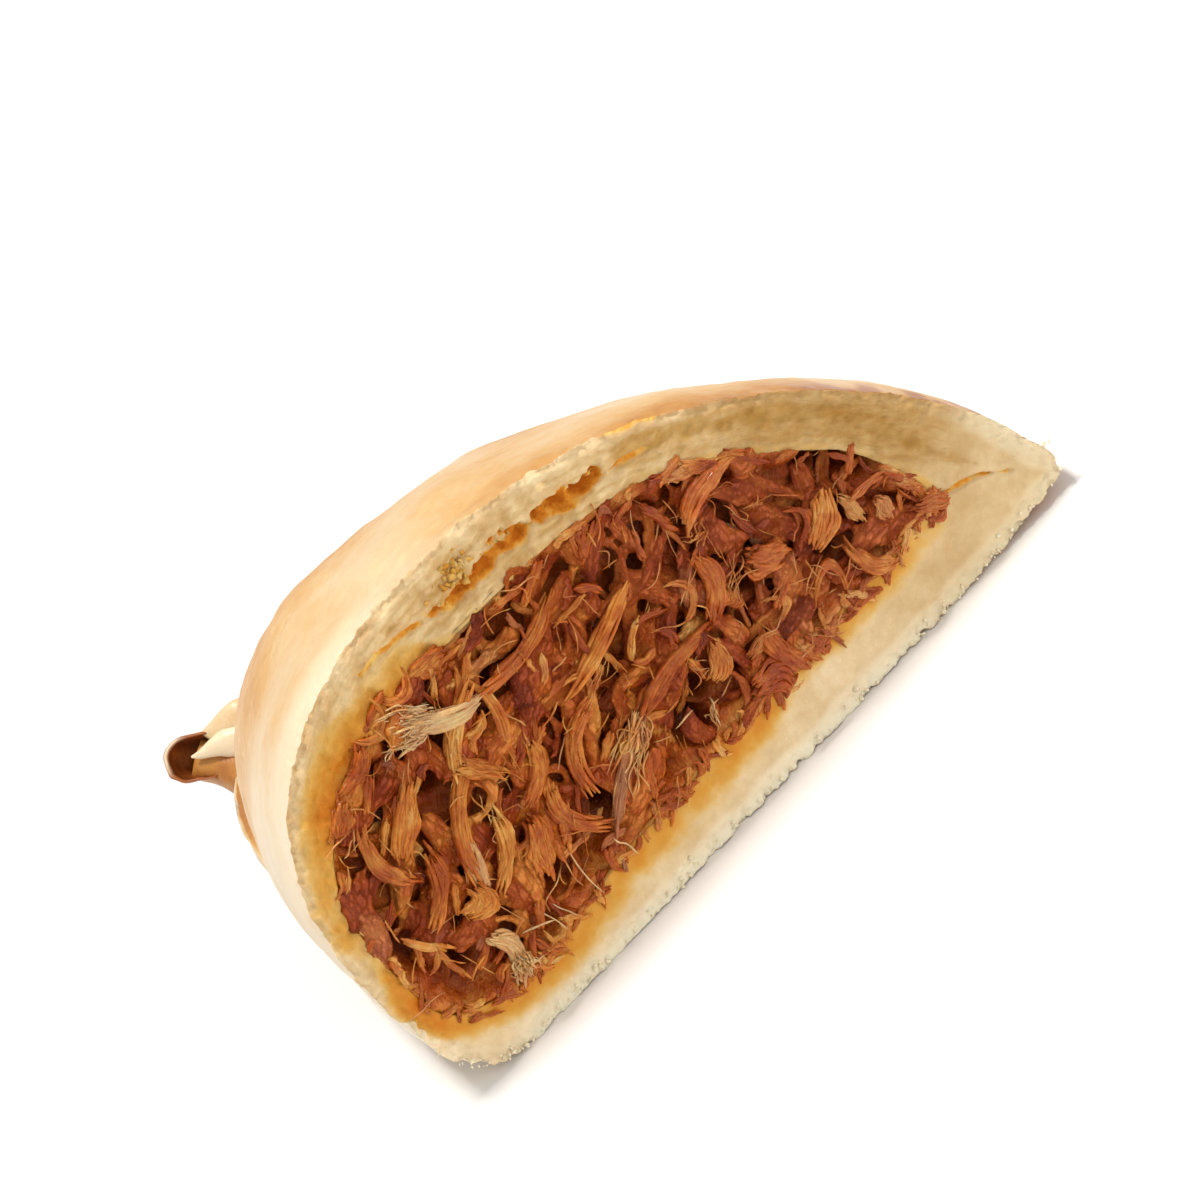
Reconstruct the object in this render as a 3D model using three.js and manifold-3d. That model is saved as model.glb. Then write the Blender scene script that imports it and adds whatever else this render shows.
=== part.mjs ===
// Half of a baked empanada: one shell of folded dough, cut across its middle, and the
// pulled-meat filling that runs through it. Millimetres, +Z up.
//
// The half rests on its flat base. X runs across the cut face, from the folded edge of the dough
// to the sealed rim. Y runs from the cut face back to the pinched corner. The forms are worked
// out whole, as baked, round an upright axis through the crown, and then cut in half.

import * as THREE from 'three';
import Module from 'manifold-3d';
import { mergeVertices } from 'three/addons/utils/BufferGeometryUtils.js';

const wasm = await Module();
wasm.setup();

// ---- Driving dimensions ----------------------------------------------------------------------

const HALF_LENGTH = 63; // from the cut face to the far rim
const RIM_X = 91.5; // the rim's edge at the cut face
const FOLD_X = -0.7; // the folded edge at the cut face
const FOLD_BOW = 0.5; // how far the folded edge swells on its way to the corner
const FOLD_TUCK = 7; // how far it comes in at the corner
const CROWN_X = 35; // the crown, nearer the fold than the rim
const CROWN_Z = 49.7; // its height over the table
const PLAN_SQUARENESS = 2.5; // 2 is an ellipse, more is squarer
const DOME_UNEVENNESS = 0.7; // how far the lid swells and sinks away from a smooth dome

const FLANGE = 5.9; // the rim's flat, where lid and base are pressed together
const RIM_THICKNESS = 6.2; // two layers of dough at the rim
const CUT_RIM_THICKNESS = 4.8; // the same at the cut face
const RIM_LIFT = 2; // the rim's underside over the table
const CUT_RIM_LIFT = 1.6; // the same at the cut face
const CORNER_LIFT = 10; // how much higher the corner curls up
const RIM_WAVE = 0.5; // the rim's rise and fall, left by fingertips
const EDGE_BULGE = 0.9; // the rim's rounded edge
const FLAT_SHARE = 0.6; // how much of the base lies flat, from its middle to the rim

const SEAL = 12; // dough between filling and rim edge at the cut
const LID_WALL = 6.5; // the lid's least thickness
const FOLD_WALL = 3.3; // dough thickness at the fold
const CAVITY_TOP = 40.7; // the lid's underside at the crown
const CAVITY_EDGE = 10.7; // where it meets the base sheet at the rim
const BASE_DOUGH = 8.7; // the base sheet's thickness at the middle
const BASE_DOUGH_AT_FOLD = 5.7; // and where it turns up into the fold
const GAP = 0.3; // clearance between filling and crust

const HORN_ROOT = new THREE.Vector3(12, 56, 15); // the pinched corner starts inside the rim
const HORN_BEND = new THREE.Vector3(8, 62, 16.5);
const HORN_TIP = new THREE.Vector3(5, 67.5, 22);
const HORN_WIDTH = 8.4;
const HORN_THICKNESS = 2.4;

const CUT_RELIEF = 1.1; // how far meat lumps stand out of the cut face, or sink into it

const CRUST_STATIONS = 96; // facets round the whole empanada
const CAVITY_STATIONS = 72;

// ---- Small helpers ---------------------------------------------------------------------------

const { sin, cos, PI, max, min, pow } = Math;
const mix = THREE.MathUtils.lerp;
const ease = THREE.MathUtils.smoothstep;

// The largest radius from the crown's axis that stays inside a plan shape.
function reach(angle, inside) {
  let low = 1;
  let high = 120;
  for (let step = 0; step < 40; step++) {
    const middle = (low + high) / 2;
    if (inside(CROWN_X + middle * cos(angle), middle * sin(angle))) low = middle;
    else high = middle;
  }
  return low;
}

// The smaller of two radii, with a rounded change from one to the other.
function softer(first, second, sharpness) {
  return -Math.log(Math.exp(-sharpness * first) + Math.exp(-sharpness * second)) / sharpness;
}

// A dome's fall from 1 at the crown to 0 at its foot.
const fall = (share, shoulder, skirt) => pow(max(0, 1 - pow(share, shoulder)), 1 / skirt);

// Shares from 0 to 1 that crowd towards 1, where a form turns steep.
const crowded = (step, steps) => pow(sin((step / steps) * (PI / 2)), 0.8);

// ---- Plan ------------------------------------------------------------------------------------

// The rim: a squarish half ellipse, standing on the line of the fold.
function insideRim(x, y) {
  const start = FOLD_X + 3;
  const along = max(0, x - start) / (RIM_X - start);
  return pow(along, PLAN_SQUARENESS) + pow(y / HALF_LENGTH, PLAN_SQUARENESS) < 1;
}

function insideFold(x, y) {
  const share = min(1, y / HALF_LENGTH);
  return x > FOLD_X - FOLD_BOW * sin(PI * share) + FOLD_TUCK * share * share;
}

const rimReach = (angle) => reach(angle, insideRim);
const foldReach = (angle) => (cos(angle) < 0 ? reach(angle, insideFold) : Infinity);

// The outer edge, with a slightly rounded corner where rim and fold meet.
const outline = (angle) => softer(rimReach(angle), foldReach(angle), 0.2);

// What changes round the empanada, from the rim at the cut, angle 0, to the fold at the cut.
function around(angle) {
  const turn = THREE.MathUtils.radToDeg(angle);
  const edge = outline(angle);
  const flange = FLANGE * ease(turn, 0, 45);
  const corner = ease(turn, 80, 118) * (1 - ease(turn, 124, 150));
  const wave = RIM_WAVE * sin(angle * 13) * ease(turn, 15, 40) * (1 - ease(turn, 105, 130));
  const low = mix(CUT_RIM_LIFT, RIM_LIFT, ease(turn, 0, 40)) + CORNER_LIFT * corner + wave;
  return {
    edge,
    foot: min(edge, softer(rimReach(angle) - flange, foldReach(angle), 0.075)), // the dome's
    fold: ease(turn, 112, 158), // 0 along the rim, 1 along the fold
    seal: mix(SEAL, LID_WALL, ease(turn, 0, 45)),
    rimLow: low,
    rimHigh: low + mix(CUT_RIM_THICKNESS, RIM_THICKNESS, ease(turn, 5, 45)),
    foldMiddle: mix(13, 16.2, ease(turn, 145, 180)), // height of the fold's outermost line
    shoulder: 1.95 + 0.15 * ease(turn, 10, 80) - 0.2 * ease(turn, 80, 150),
    skirt: mix(1.45, 1.7, ease(turn, 20, 90)),
    foldRound: mix(1.85, 2.5, ease(turn, 110, 180)),
    foldRoundInside: mix(2.2, 2.9, ease(turn, 110, 180)),
    swell: DOME_UNEVENNESS * sin(angle * 5.3 + 1) * sin(angle),
  };
}

// ---- Profiles, as [radius, height] from the base's centre to the crown ------------------------

// The height of the lid's outside, at a share of the way from the crown to its foot.
function domeHeight(here, share) {
  const rimSide = mix(here.rimHigh, CROWN_Z, fall(share, here.shoulder, here.skirt));
  const foldSide = mix(here.foldMiddle, CROWN_Z, fall(share, here.foldRound, here.foldRound));
  return mix(rimSide, foldSide, here.fold) + here.swell * sin(PI * share * share);
}

function crustProfile(angle) {
  const here = around(angle);
  const low = mix(here.rimLow, here.foldMiddle, here.fold);
  const high = mix(here.rimHigh, here.foldMiddle, here.fold);
  const points = [];
  const baseSteps = 10;
  for (let step = 0; step < baseSteps; step++) {
    const share = crowded(step, baseSteps);
    const rise = max(0, share - FLAT_SHARE) / (1 - FLAT_SHARE);
    const turnUp = max(0, share - 0.72) / 0.28;
    const foldSide = here.foldMiddle * (1 - fall(turnUp, 2.8, 2.8));
    points.push([here.edge * share, mix(here.rimLow * rise * rise, foldSide, here.fold)]);
  }
  const edgeSteps = 4;
  for (let step = 0; step <= edgeSteps; step++) {
    const share = step / edgeSteps;
    const bulge = EDGE_BULGE * (1 - here.fold) * sin(PI * share);
    points.push([here.edge + bulge, mix(low, high, share)]);
  }
  const crease = high + RIM_WAVE * (1 - here.fold);
  points.push([mix(here.edge, here.foot, 0.5), crease]);
  const domeSteps = 16;
  for (let step = domeSteps; step >= 0; step--) {
    const share = crowded(step, domeSteps);
    points.push([here.foot * share, domeHeight(here, share)]);
  }
  return points;
}

// The space inside the crust. Its roof keeps the lid's least thickness.
function cavityProfile(angle) {
  const here = around(angle);
  const radius = here.foot - mix(here.seal, FOLD_WALL, here.fold);
  const edge = mix(CAVITY_EDGE, here.foldMiddle, here.fold);
  const shoulder = mix(2.6, here.foldRoundInside, here.fold);
  const skirt = mix(1.7, here.foldRoundInside, here.fold);
  const wall = mix(LID_WALL, FOLD_WALL, here.fold) * Math.SQRT1_2;
  const points = [];
  const floorSteps = 9;
  for (let step = 0; step < floorSteps; step++) {
    const share = crowded(step, floorSteps);
    const rimSide = mix(BASE_DOUGH, edge, pow(share, 1.8));
    const thinning = mix(BASE_DOUGH, BASE_DOUGH_AT_FOLD, ease(share, 0, 0.75));
    const foldSide = mix(thinning, edge, 1 - fall(share, 4, 4));
    points.push([radius * share, mix(rimSide, foldSide, here.fold)]);
  }
  const roofSteps = 14;
  for (let step = roofSteps; step >= 0; step--) {
    const share = crowded(step, roofSteps);
    const lid = domeHeight(here, min(1, (radius * share + wall) / here.foot)) - wall;
    const height = min(mix(edge, CAVITY_TOP, fall(share, shoulder, skirt)), max(lid, edge));
    points.push([radius * share, height]);
  }
  return points;
}

// The same profile, drawn in by a clearance. Its first and last points stay on the axis.
function inset(points, clearance) {
  const last = points.length - 1;
  return points.map(([radius, height], point) => {
    if (point === 0) return [radius, height + clearance];
    if (point === last) return [radius, height - clearance];
    const run = points[point + 1][0] - points[point - 1][0];
    const rise = points[point + 1][1] - points[point - 1][1];
    const length = Math.hypot(run, rise);
    return [radius - (clearance * rise) / length, height + (clearance * run) / length];
  });
}

// ---- Solids ----------------------------------------------------------------------------------

function fromCorners(corners) {
  const geometry = new THREE.BufferGeometry();
  geometry.setAttribute('position', new THREE.Float32BufferAttribute(corners.flat(), 3));
  return geometry;
}

// A closed body whose profile turns once round the crown's axis, mirrored about the cut.
function turned(profile, stations) {
  const rows = [];
  for (let station = 0; station < stations; station++) {
    const angle = (station / stations) * 2 * PI;
    const points = profile(min(angle, 2 * PI - angle));
    rows.push(points.map(([radius, height]) => [
      CROWN_X + radius * cos(angle),
      radius * sin(angle),
      height,
    ]));
  }
  const last = rows[0].length - 1;
  const corners = [];
  for (let station = 0; station < stations; station++) {
    const row = rows[station];
    const next = rows[(station + 1) % stations];
    corners.push(rows[0][0], next[1], row[1]);
    for (let point = 1; point < last - 1; point++) {
      corners.push(row[point], next[point], next[point + 1]);
      corners.push(row[point], next[point + 1], row[point + 1]);
    }
    corners.push(row[last - 1], next[last - 1], rows[0][last]);
  }
  return fromCorners(corners);
}

// One ring of the horn: a strip of dough bent into an arc, hollow towards the cut face.
function hornRing(path, share, arcSteps) {
  const across = new THREE.Vector3(0.62, 0.12, 0.78);
  const centre = path.getPoint(share);
  const along = path.getTangent(share);
  const hollow = new THREE.Vector3().crossVectors(across, along).normalize();
  const side = new THREE.Vector3().crossVectors(along, hollow).normalize();
  const outside = (HORN_WIDTH / 2) * (1 - 0.4 * pow(share, 3));
  const inside = outside - HORN_THICKNESS * (1 - 0.3 * share);
  const halfArc = 1.45;
  const flattening = 0.8;
  const onArc = (radius, turn) => centre.clone()
    .addScaledVector(side, radius * sin(turn))
    .addScaledVector(hollow, -radius * cos(turn) * flattening)
    .toArray();
  const ring = [];
  for (let step = 0; step <= arcSteps; step++) {
    ring.push(onArc(outside, mix(-halfArc, halfArc, step / arcSteps)));
  }
  for (let step = arcSteps; step >= 0; step--) {
    ring.push(onArc(inside, mix(-halfArc, halfArc, step / arcSteps)));
  }
  return ring;
}

// The corner's dough, pinched into a tongue whose sides curl towards the cut.
function horn() {
  const path = new THREE.QuadraticBezierCurve3(HORN_ROOT, HORN_BEND, HORN_TIP);
  const lengthSteps = 9;
  const arcSteps = 8;
  const rings = [];
  for (let step = 0; step <= lengthSteps; step++) {
    rings.push(hornRing(path, step / lengthSteps, arcSteps));
  }
  const corners = [];
  const count = rings[0].length;
  for (let step = 0; step < lengthSteps; step++) {
    const [ring, next] = [rings[step], rings[step + 1]];
    for (let point = 0; point < count; point++) {
      const beside = (point + 1) % count;
      corners.push(ring[point], next[beside], ring[beside]);
      corners.push(ring[point], next[point], next[beside]);
    }
  }
  const [start, end] = [rings[0], rings[lengthSteps]];
  for (let step = 0; step < arcSteps; step++) {
    const inner = count - 1 - step;
    corners.push(start[step], start[inner - 1], start[inner]);
    corners.push(start[step], start[step + 1], start[inner - 1]);
    corners.push(end[step], end[inner], end[inner - 1]);
    corners.push(end[step], end[inner - 1], end[step + 1]);
  }
  return fromCorners(corners);
}

// The space in front of the knife cut. Its back is flat, or rough where the knife tore meat.
function inFrontOfCut(rough) {
  const depth = 90;
  const box = new THREE.BoxGeometry(140, depth, 80, rough ? 46 : 1, 1, rough ? 26 : 1);
  box.translate(CROWN_X + 10, -depth / 2, 30);
  if (!rough) return box;
  const position = box.attributes.position;
  for (let point = 0; point < position.count; point++) {
    if (position.getY(point) < -depth / 2) continue;
    const x = position.getX(point);
    const z = position.getZ(point);
    const lumps = sin(x * 0.61 + 1.7 * sin(z * 0.33)) * cos(z * 0.71 + 1.3 * sin(x * 0.27 + 1));
    const strands = sin(x * 1.13 - z * 0.57) * cos(x * 0.39 + z * 0.93 + 2);
    position.setY(point, CUT_RELIEF * (0.65 * lumps + 0.35 * strands));
  }
  return box;
}

function toSolid(geometry) {
  const bare = geometry.clone();
  bare.deleteAttribute('normal');
  bare.deleteAttribute('uv');
  const merged = mergeVertices(bare);
  const mesh = new wasm.Mesh({
    numProp: 3,
    vertProperties: merged.attributes.position.array,
    triVerts: new Uint32Array(merged.index.array),
  });
  return new wasm.Manifold(mesh);
}

function toMesh(name, solid, material) {
  const { vertProperties, triVerts } = solid.getMesh();
  const geometry = new THREE.BufferGeometry();
  geometry.setAttribute('position', new THREE.BufferAttribute(vertProperties, 3));
  geometry.setIndex(new THREE.BufferAttribute(triVerts, 1));
  geometry.computeVertexNormals();
  const mesh = new THREE.Mesh(geometry, material);
  mesh.name = name;
  return mesh;
}

// ---- The two pieces --------------------------------------------------------------------------

function crust() {
  const dough = toSolid(turned(crustProfile, CRUST_STATIONS)).add(toSolid(horn()));
  const cavity = toSolid(turned(cavityProfile, CAVITY_STATIONS));
  const shell = dough.subtract(cavity).subtract(toSolid(inFrontOfCut(false)));
  const baked = new THREE.MeshStandardMaterial({ color: 0xe3b368, roughness: 0.5, metalness: 0 });
  return toMesh('crust', shell, baked);
}

function filling() {
  const packed = toSolid(turned((angle) => inset(cavityProfile(angle), GAP), CAVITY_STATIONS));
  const meat = packed.subtract(toSolid(inFrontOfCut(true)));
  const stewed = new THREE.MeshStandardMaterial({ color: 0x9c5a30, roughness: 0.45, metalness: 0 });
  return toMesh('filling', meat, stewed);
}

const empanada = new THREE.Group();
empanada.add(crust(), filling());

// The origin is under the middle of the whole half, on the table.
const extent = new THREE.Box3().setFromObject(empanada);
const centre = extent.getCenter(new THREE.Vector3());
empanada.position.set(-centre.x, -centre.y, -extent.min.z);

export default empanada;
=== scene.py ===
"""Half of a baked empanada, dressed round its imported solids.

The dough is one closed mesh: outer skin, torn cut and the hollow behind the meat. The meat is a
dark core with pulled shreds, loose fibres and pale tendon laid over it. Sizes are millimetres in
the cook's frame (x from fold to rim, y back from the cut, z up); finished meshes are metres.
"""

import math

import bmesh
import bpy
import numpy as np
from mathutils import Matrix, Vector
from mathutils.bvhtree import BVHTree


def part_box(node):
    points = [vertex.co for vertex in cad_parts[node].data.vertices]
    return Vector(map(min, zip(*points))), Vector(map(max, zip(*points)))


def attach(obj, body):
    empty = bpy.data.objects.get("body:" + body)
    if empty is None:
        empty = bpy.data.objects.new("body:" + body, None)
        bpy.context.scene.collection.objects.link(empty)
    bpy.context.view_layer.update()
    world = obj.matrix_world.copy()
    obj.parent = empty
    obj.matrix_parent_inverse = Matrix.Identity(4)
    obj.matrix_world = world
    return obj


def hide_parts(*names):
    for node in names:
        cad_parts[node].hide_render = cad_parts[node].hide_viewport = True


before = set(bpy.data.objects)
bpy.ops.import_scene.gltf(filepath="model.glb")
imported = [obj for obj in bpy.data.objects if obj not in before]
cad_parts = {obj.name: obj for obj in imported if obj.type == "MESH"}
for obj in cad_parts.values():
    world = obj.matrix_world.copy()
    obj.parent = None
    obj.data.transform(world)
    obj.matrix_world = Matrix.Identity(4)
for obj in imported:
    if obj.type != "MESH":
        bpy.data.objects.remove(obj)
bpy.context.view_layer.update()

# ---- Sizes, the same as the solids' ----------------------------------------------------------

HALF_LENGTH = 63.0
RIM_X = 91.5
FOLD_X = -0.7
FOLD_BOW = 0.5
FOLD_TUCK = 7.0
CROWN_X = 35.0
CROWN_Z = 49.7
PLAN_SQUARENESS = 2.5
DOME_UNEVENNESS = 0.7
FLANGE = 5.9
RIM_THICKNESS = 6.2
CUT_RIM_THICKNESS = 4.8
RIM_LIFT = 2.0
CUT_RIM_LIFT = 1.6
CORNER_LIFT = 10.0
RIM_WAVE = 0.5
EDGE_BULGE = 0.9
FLAT_SHARE = 0.6
SEAL = 12.0
LID_WALL = 6.5
FOLD_WALL = 3.3
CAVITY_TOP = 40.7
CAVITY_EDGE = 10.7
BASE_DOUGH = 8.7
BASE_DOUGH_AT_FOLD = 5.7

# From the cook's frame to the part's: the cut face, rim and table sit where the solid has them.
dough_low, dough_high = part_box("crust")
SHIFT = np.array([dough_high[0] * 1000 - RIM_X - EDGE_BULGE, dough_low[1] * 1000, dough_low[2] * 1000])


def to_part(points):
    """From the cook's frame in millimetres to the part's frame in metres."""
    return (np.asarray(points) + SHIFT) / 1000


# ---- Uneven things: steady noise, the same each run -------------------------------------------


def scrambled(cell, seed):
    """A number from 0 to 1 for each whole-number cell."""
    key = np.zeros(cell.shape[:-1], dtype=np.uint64) + np.uint64(seed * 7919 + 17)
    for axis in range(cell.shape[-1]):
        key = (key ^ cell[..., axis].astype(np.int64).astype(np.uint64)) * np.uint64(0x9E3779B97F4A7C15)
        key ^= key >> np.uint64(29)
    key = (key * np.uint64(0xBF58476D1CE4E5B9)) >> np.uint64(40)
    return key.astype(np.float64) / float(1 << 24)


def wander(points, size, seed=0):
    """Smooth noise from -1 to 1 whose bumps are about size apart."""
    spot = np.asarray(points, dtype=np.float64) / size + 1000.0
    cell = np.floor(spot)
    part = spot - cell
    part = part * part * part * (part * (part * 6 - 15) + 10)
    total = 0.0
    count = spot.shape[-1]
    for corner in range(2 ** count):
        step = np.array([(corner >> axis) & 1 for axis in range(count)], dtype=np.float64)
        share = np.prod(np.where(step > 0, part, 1 - part), axis=-1)
        total = total + share * scrambled(cell + step, seed)
    return total * 2 - 1


def rough(points, size, seed=0, layers=3):
    """Noise with finer noise on top, from about -1 to 1."""
    total, share = 0.0, 1.0
    for layer in range(layers):
        total = total + share * wander(points, size / 2 ** layer, seed + layer * 31)
        share *= 0.55
    return total


def ease(value, start, end):
    """A soft step from 0 at start to 1 at end."""
    share = np.clip((value - start) / (end - start), 0, 1)
    return share * share * (3 - 2 * share)


def mix(first, second, share):
    """All of first at share 0, all of second at share 1."""
    return first + (second - first) * share


# ---- The dough's form, as in the solids ------------------------------------------------------


def reach(angle, inside):
    """How far the crown is from the edge of what is inside, in each direction."""
    low = np.full(angle.shape, 1.0)
    high = np.full(angle.shape, 120.0)
    for _ in range(40):
        middle = (low + high) / 2
        kept = inside(CROWN_X + middle * np.cos(angle), middle * np.sin(angle))
        low = np.where(kept, middle, low)
        high = np.where(kept, high, middle)
    return low


def softer(first, second, sharpness):
    """The smaller of two, with the corner between them rounded."""
    return -np.log(np.exp(-sharpness * first) + np.exp(-sharpness * second)) / sharpness


def fall(share, shoulder, skirt):
    """A curve that falls from 1 at the crown to 0 at the edge."""
    return np.maximum(0, 1 - share ** shoulder) ** (1 / skirt)


def inside_rim(x, y):
    """Within the sealed rim, seen from above."""
    start = FOLD_X + 3
    along = np.maximum(0, x - start) / (RIM_X - start)
    return along ** PLAN_SQUARENESS + (y / HALF_LENGTH) ** PLAN_SQUARENESS < 1


def inside_fold(x, y):
    """On the near side of the folded edge, seen from above."""
    share = np.minimum(1, y / HALF_LENGTH)
    return x > FOLD_X - FOLD_BOW * np.sin(np.pi * share) + FOLD_TUCK * share * share


def around(angle):
    """What changes round the empanada, from the rim at the cut, 0, to the fold at the cut, pi."""
    turn = np.degrees(angle)
    rim = reach(angle, inside_rim)
    fold_line = np.where(np.cos(angle) < 0, reach(angle, inside_fold), np.inf)
    edge = softer(rim, fold_line, 0.2)
    flange = FLANGE * ease(turn, 0, 45)
    corner = ease(turn, 80, 118) * (1 - ease(turn, 124, 150))
    wave = RIM_WAVE * np.sin(angle * 13) * ease(turn, 15, 40) * (1 - ease(turn, 105, 130))
    low = mix(CUT_RIM_LIFT, RIM_LIFT, ease(turn, 0, 40)) + CORNER_LIFT * corner + wave
    return {
        "edge": edge,
        "foot": np.minimum(edge, softer(rim - flange, fold_line, 0.075)),
        "fold": ease(turn, 112, 158),
        "seal": mix(SEAL, LID_WALL, ease(turn, 0, 45)),
        "rim_low": low,
        "rim_high": low + mix(CUT_RIM_THICKNESS, RIM_THICKNESS, ease(turn, 5, 45)),
        "fold_middle": mix(13, 16.2, ease(turn, 145, 180)),
        "shoulder": 1.95 + 0.15 * ease(turn, 10, 80) - 0.2 * ease(turn, 80, 150),
        "skirt": mix(1.45, 1.7, ease(turn, 20, 90)),
        "fold_round": mix(1.85, 2.5, ease(turn, 110, 180)),
        "fold_round_inside": mix(2.2, 2.9, ease(turn, 110, 180)),
        "swell": DOME_UNEVENNESS * np.sin(angle * 5.3 + 1) * np.sin(angle),
    }


def dome_height(here, share):
    """The dome's height at a share of the way from the crown to the edge."""
    rim_side = mix(here["rim_high"], CROWN_Z, fall(share, here["shoulder"], here["skirt"]))
    fold_side = mix(here["fold_middle"], CROWN_Z, fall(share, here["fold_round"], here["fold_round"]))
    return mix(rim_side, fold_side, here["fold"]) + here["swell"] * np.sin(np.pi * share * share)


def even_steps(radius, height, steps):
    """A profile's points moved along it until they are evenly spaced."""
    length = np.concatenate([[0], np.cumsum(np.hypot(np.diff(radius), np.diff(height)))])
    wanted = np.linspace(0, length[-1], steps)
    return np.interp(wanted, length, radius), np.interp(wanted, length, height)


def both_profiles(angle, base_steps, dome_steps):
    """Radius and height of the crust's outside and of its hollow, from base centre to crown."""
    here = around(np.array([angle]))
    fold = here["fold"]
    near = np.sin(np.linspace(0, 1, 240) * np.pi / 2) ** 0.8
    # Outside: base, edge, pressed flange, dome.
    low = mix(here["rim_low"], here["fold_middle"], fold)
    high = mix(here["rim_high"], here["fold_middle"], fold)
    rise = np.maximum(0, near - FLAT_SHARE) / (1 - FLAT_SHARE)
    turn_up = here["fold_middle"] * (1 - fall(np.maximum(0, near - 0.72) / 0.28, 2.8, 2.8))
    base = (here["edge"] * near, mix(here["rim_low"] * rise ** 2, turn_up, fold))
    half = np.linspace(0, 1, 12)
    edge_radius = here["edge"] + EDGE_BULGE * (1 - fold) * np.sin(np.pi * half)
    edge_height = mix(low, high, half)
    width = here["edge"] - here["foot"]
    ledge = RIM_WAVE * (1 - fold) * np.minimum(1, width / 2) * np.sin(np.pi * half)
    flange = (mix(here["edge"], here["foot"], half), high + ledge)
    down = near[::-1]
    dome = (here["foot"] * down, dome_height(here, down))
    first = even_steps(
        np.concatenate([base[0], edge_radius[:6]]), np.concatenate([base[1], edge_height[:6]]), base_steps
    )
    second = even_steps(
        np.concatenate([edge_radius[5:], flange[0], dome[0]]),
        np.concatenate([edge_height[5:], flange[1], dome[1]]),
        dome_steps + 1,
    )
    outside = [np.concatenate([a, b[1:]]) for a, b in zip(first, second)]
    # Hollow: floor, then roof.
    radius = here["foot"] - mix(here["seal"], FOLD_WALL, fold)
    hollow_edge = mix(CAVITY_EDGE, here["fold_middle"], fold)
    rim_floor = mix(BASE_DOUGH, hollow_edge, near ** 1.8)
    thinning = mix(BASE_DOUGH, BASE_DOUGH_AT_FOLD, ease(near, 0, 0.75))
    fold_floor = mix(thinning, hollow_edge, 1 - fall(near, 4, 4))
    wall = mix(LID_WALL, FOLD_WALL, fold) * math.sqrt(0.5)
    lid = dome_height(here, np.minimum(1, (radius * down + wall) / here["foot"])) - wall
    shoulder = mix(2.6, here["fold_round_inside"], fold)
    skirt = mix(1.7, here["fold_round_inside"], fold)
    arch = mix(hollow_edge, CAVITY_TOP, fall(down, shoulder, skirt))
    roof = np.minimum(arch, np.maximum(lid, hollow_edge))
    first = even_steps(radius * near, mix(rim_floor, fold_floor, fold), base_steps)
    second = even_steps(radius * down, roof, dome_steps + 1)
    inside = [np.concatenate([a, b[1:]]) for a, b in zip(first, second)]
    return np.array(outside), np.array(inside)


def placed(angle, profile):
    """A profile's points where they stand round the crown."""
    radius, height = profile
    return np.stack([CROWN_X + radius * np.cos(angle), radius * np.sin(angle), height], axis=-1)


# ---- Making meshes ---------------------------------------------------------------------------


def make_mesh(name, corners, faces, finish, marks=None, slots=None, smooth=True):
    """A piece from its corners in metres and its faces, with named values on its corners."""
    mesh = bpy.data.meshes.new(name)
    mesh.from_pydata(np.asarray(corners).tolist(), [], [list(face) for face in faces])
    add_marks(mesh, marks or {})
    for material in finish if isinstance(finish, (list, tuple)) else [finish]:
        mesh.materials.append(material)
    if slots is not None:
        mesh.polygons.foreach_set("material_index", np.asarray(slots, dtype=np.int32))
    mesh.polygons.foreach_set("use_smooth", np.full(len(mesh.polygons), smooth))
    mesh.update()
    piece = bpy.data.objects.new(name, mesh)
    bpy.context.scene.collection.objects.link(piece)
    face_outwards(piece)
    return piece


def add_marks(mesh, marks):
    """Named values on the corners: whole numbers, numbers or vectors."""
    for mark, values in marks.items():
        values = np.asarray(values)
        if values.ndim == 2:
            layer = mesh.attributes.new(mark, "FLOAT_VECTOR", "POINT")
            layer.data.foreach_set("vector", values.reshape(-1).astype(np.float32))
        elif values.dtype.kind == "i":
            mesh.attributes.new(mark, "INT", "POINT").data.foreach_set("value", values.astype(np.int32))
        else:
            mesh.attributes.new(mark, "FLOAT", "POINT").data.foreach_set("value", values.astype(np.float32))


def face_outwards(piece):
    """Turns a closed piece's faces outwards."""
    work = bmesh.new()
    work.from_mesh(piece.data)
    bmesh.ops.recalc_face_normals(work, faces=work.faces)
    if work.calc_volume(signed=True) < 0:
        bmesh.ops.reverse_faces(work, faces=work.faces)
    work.to_mesh(piece.data)
    work.free()


def closed_tube(rings):
    """Corners and faces of a tube through rings of points, its ends closed in their middles."""
    steps, sides = rings.shape[:2]
    ids = np.arange(steps * sides).reshape(steps, sides)
    ids = np.concatenate([ids, ids[:, :1]], axis=1)
    faces = grid_faces(ids)
    first, last = steps * sides, steps * sides + 1
    for side in range(sides):
        faces.append([ids[0, side], first, ids[0, side + 1]])
        faces.append([ids[-1, side + 1], last, ids[-1, side]])
    return np.concatenate([rings.reshape(-1, 3), rings[[0, -1]].mean(axis=1)]), faces


def grid_faces(ids):
    """Faces of a grid of corner numbers. A corner met twice in a row leaves a triangle."""
    faces = []
    for row, after in zip(ids[:-1].tolist(), ids[1:].tolist()):
        for step in range(len(row) - 1):
            corners = [row[step], after[step], after[step + 1], row[step + 1]]
            kept = [c for place, c in enumerate(corners) if c != corners[place - 1]]
            if len(kept) > 2:
                faces.append(kept)
    return faces


def grid_normals(points):
    """Unit normals of a grid of points."""
    along = np.gradient(points, axis=0)
    across = np.gradient(points, axis=1)
    normal = np.cross(along, across)
    size = np.linalg.norm(normal, axis=-1, keepdims=True)
    return normal / np.maximum(size, 1e-9)


# ---- Finishes --------------------------------------------------------------------------------


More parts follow.
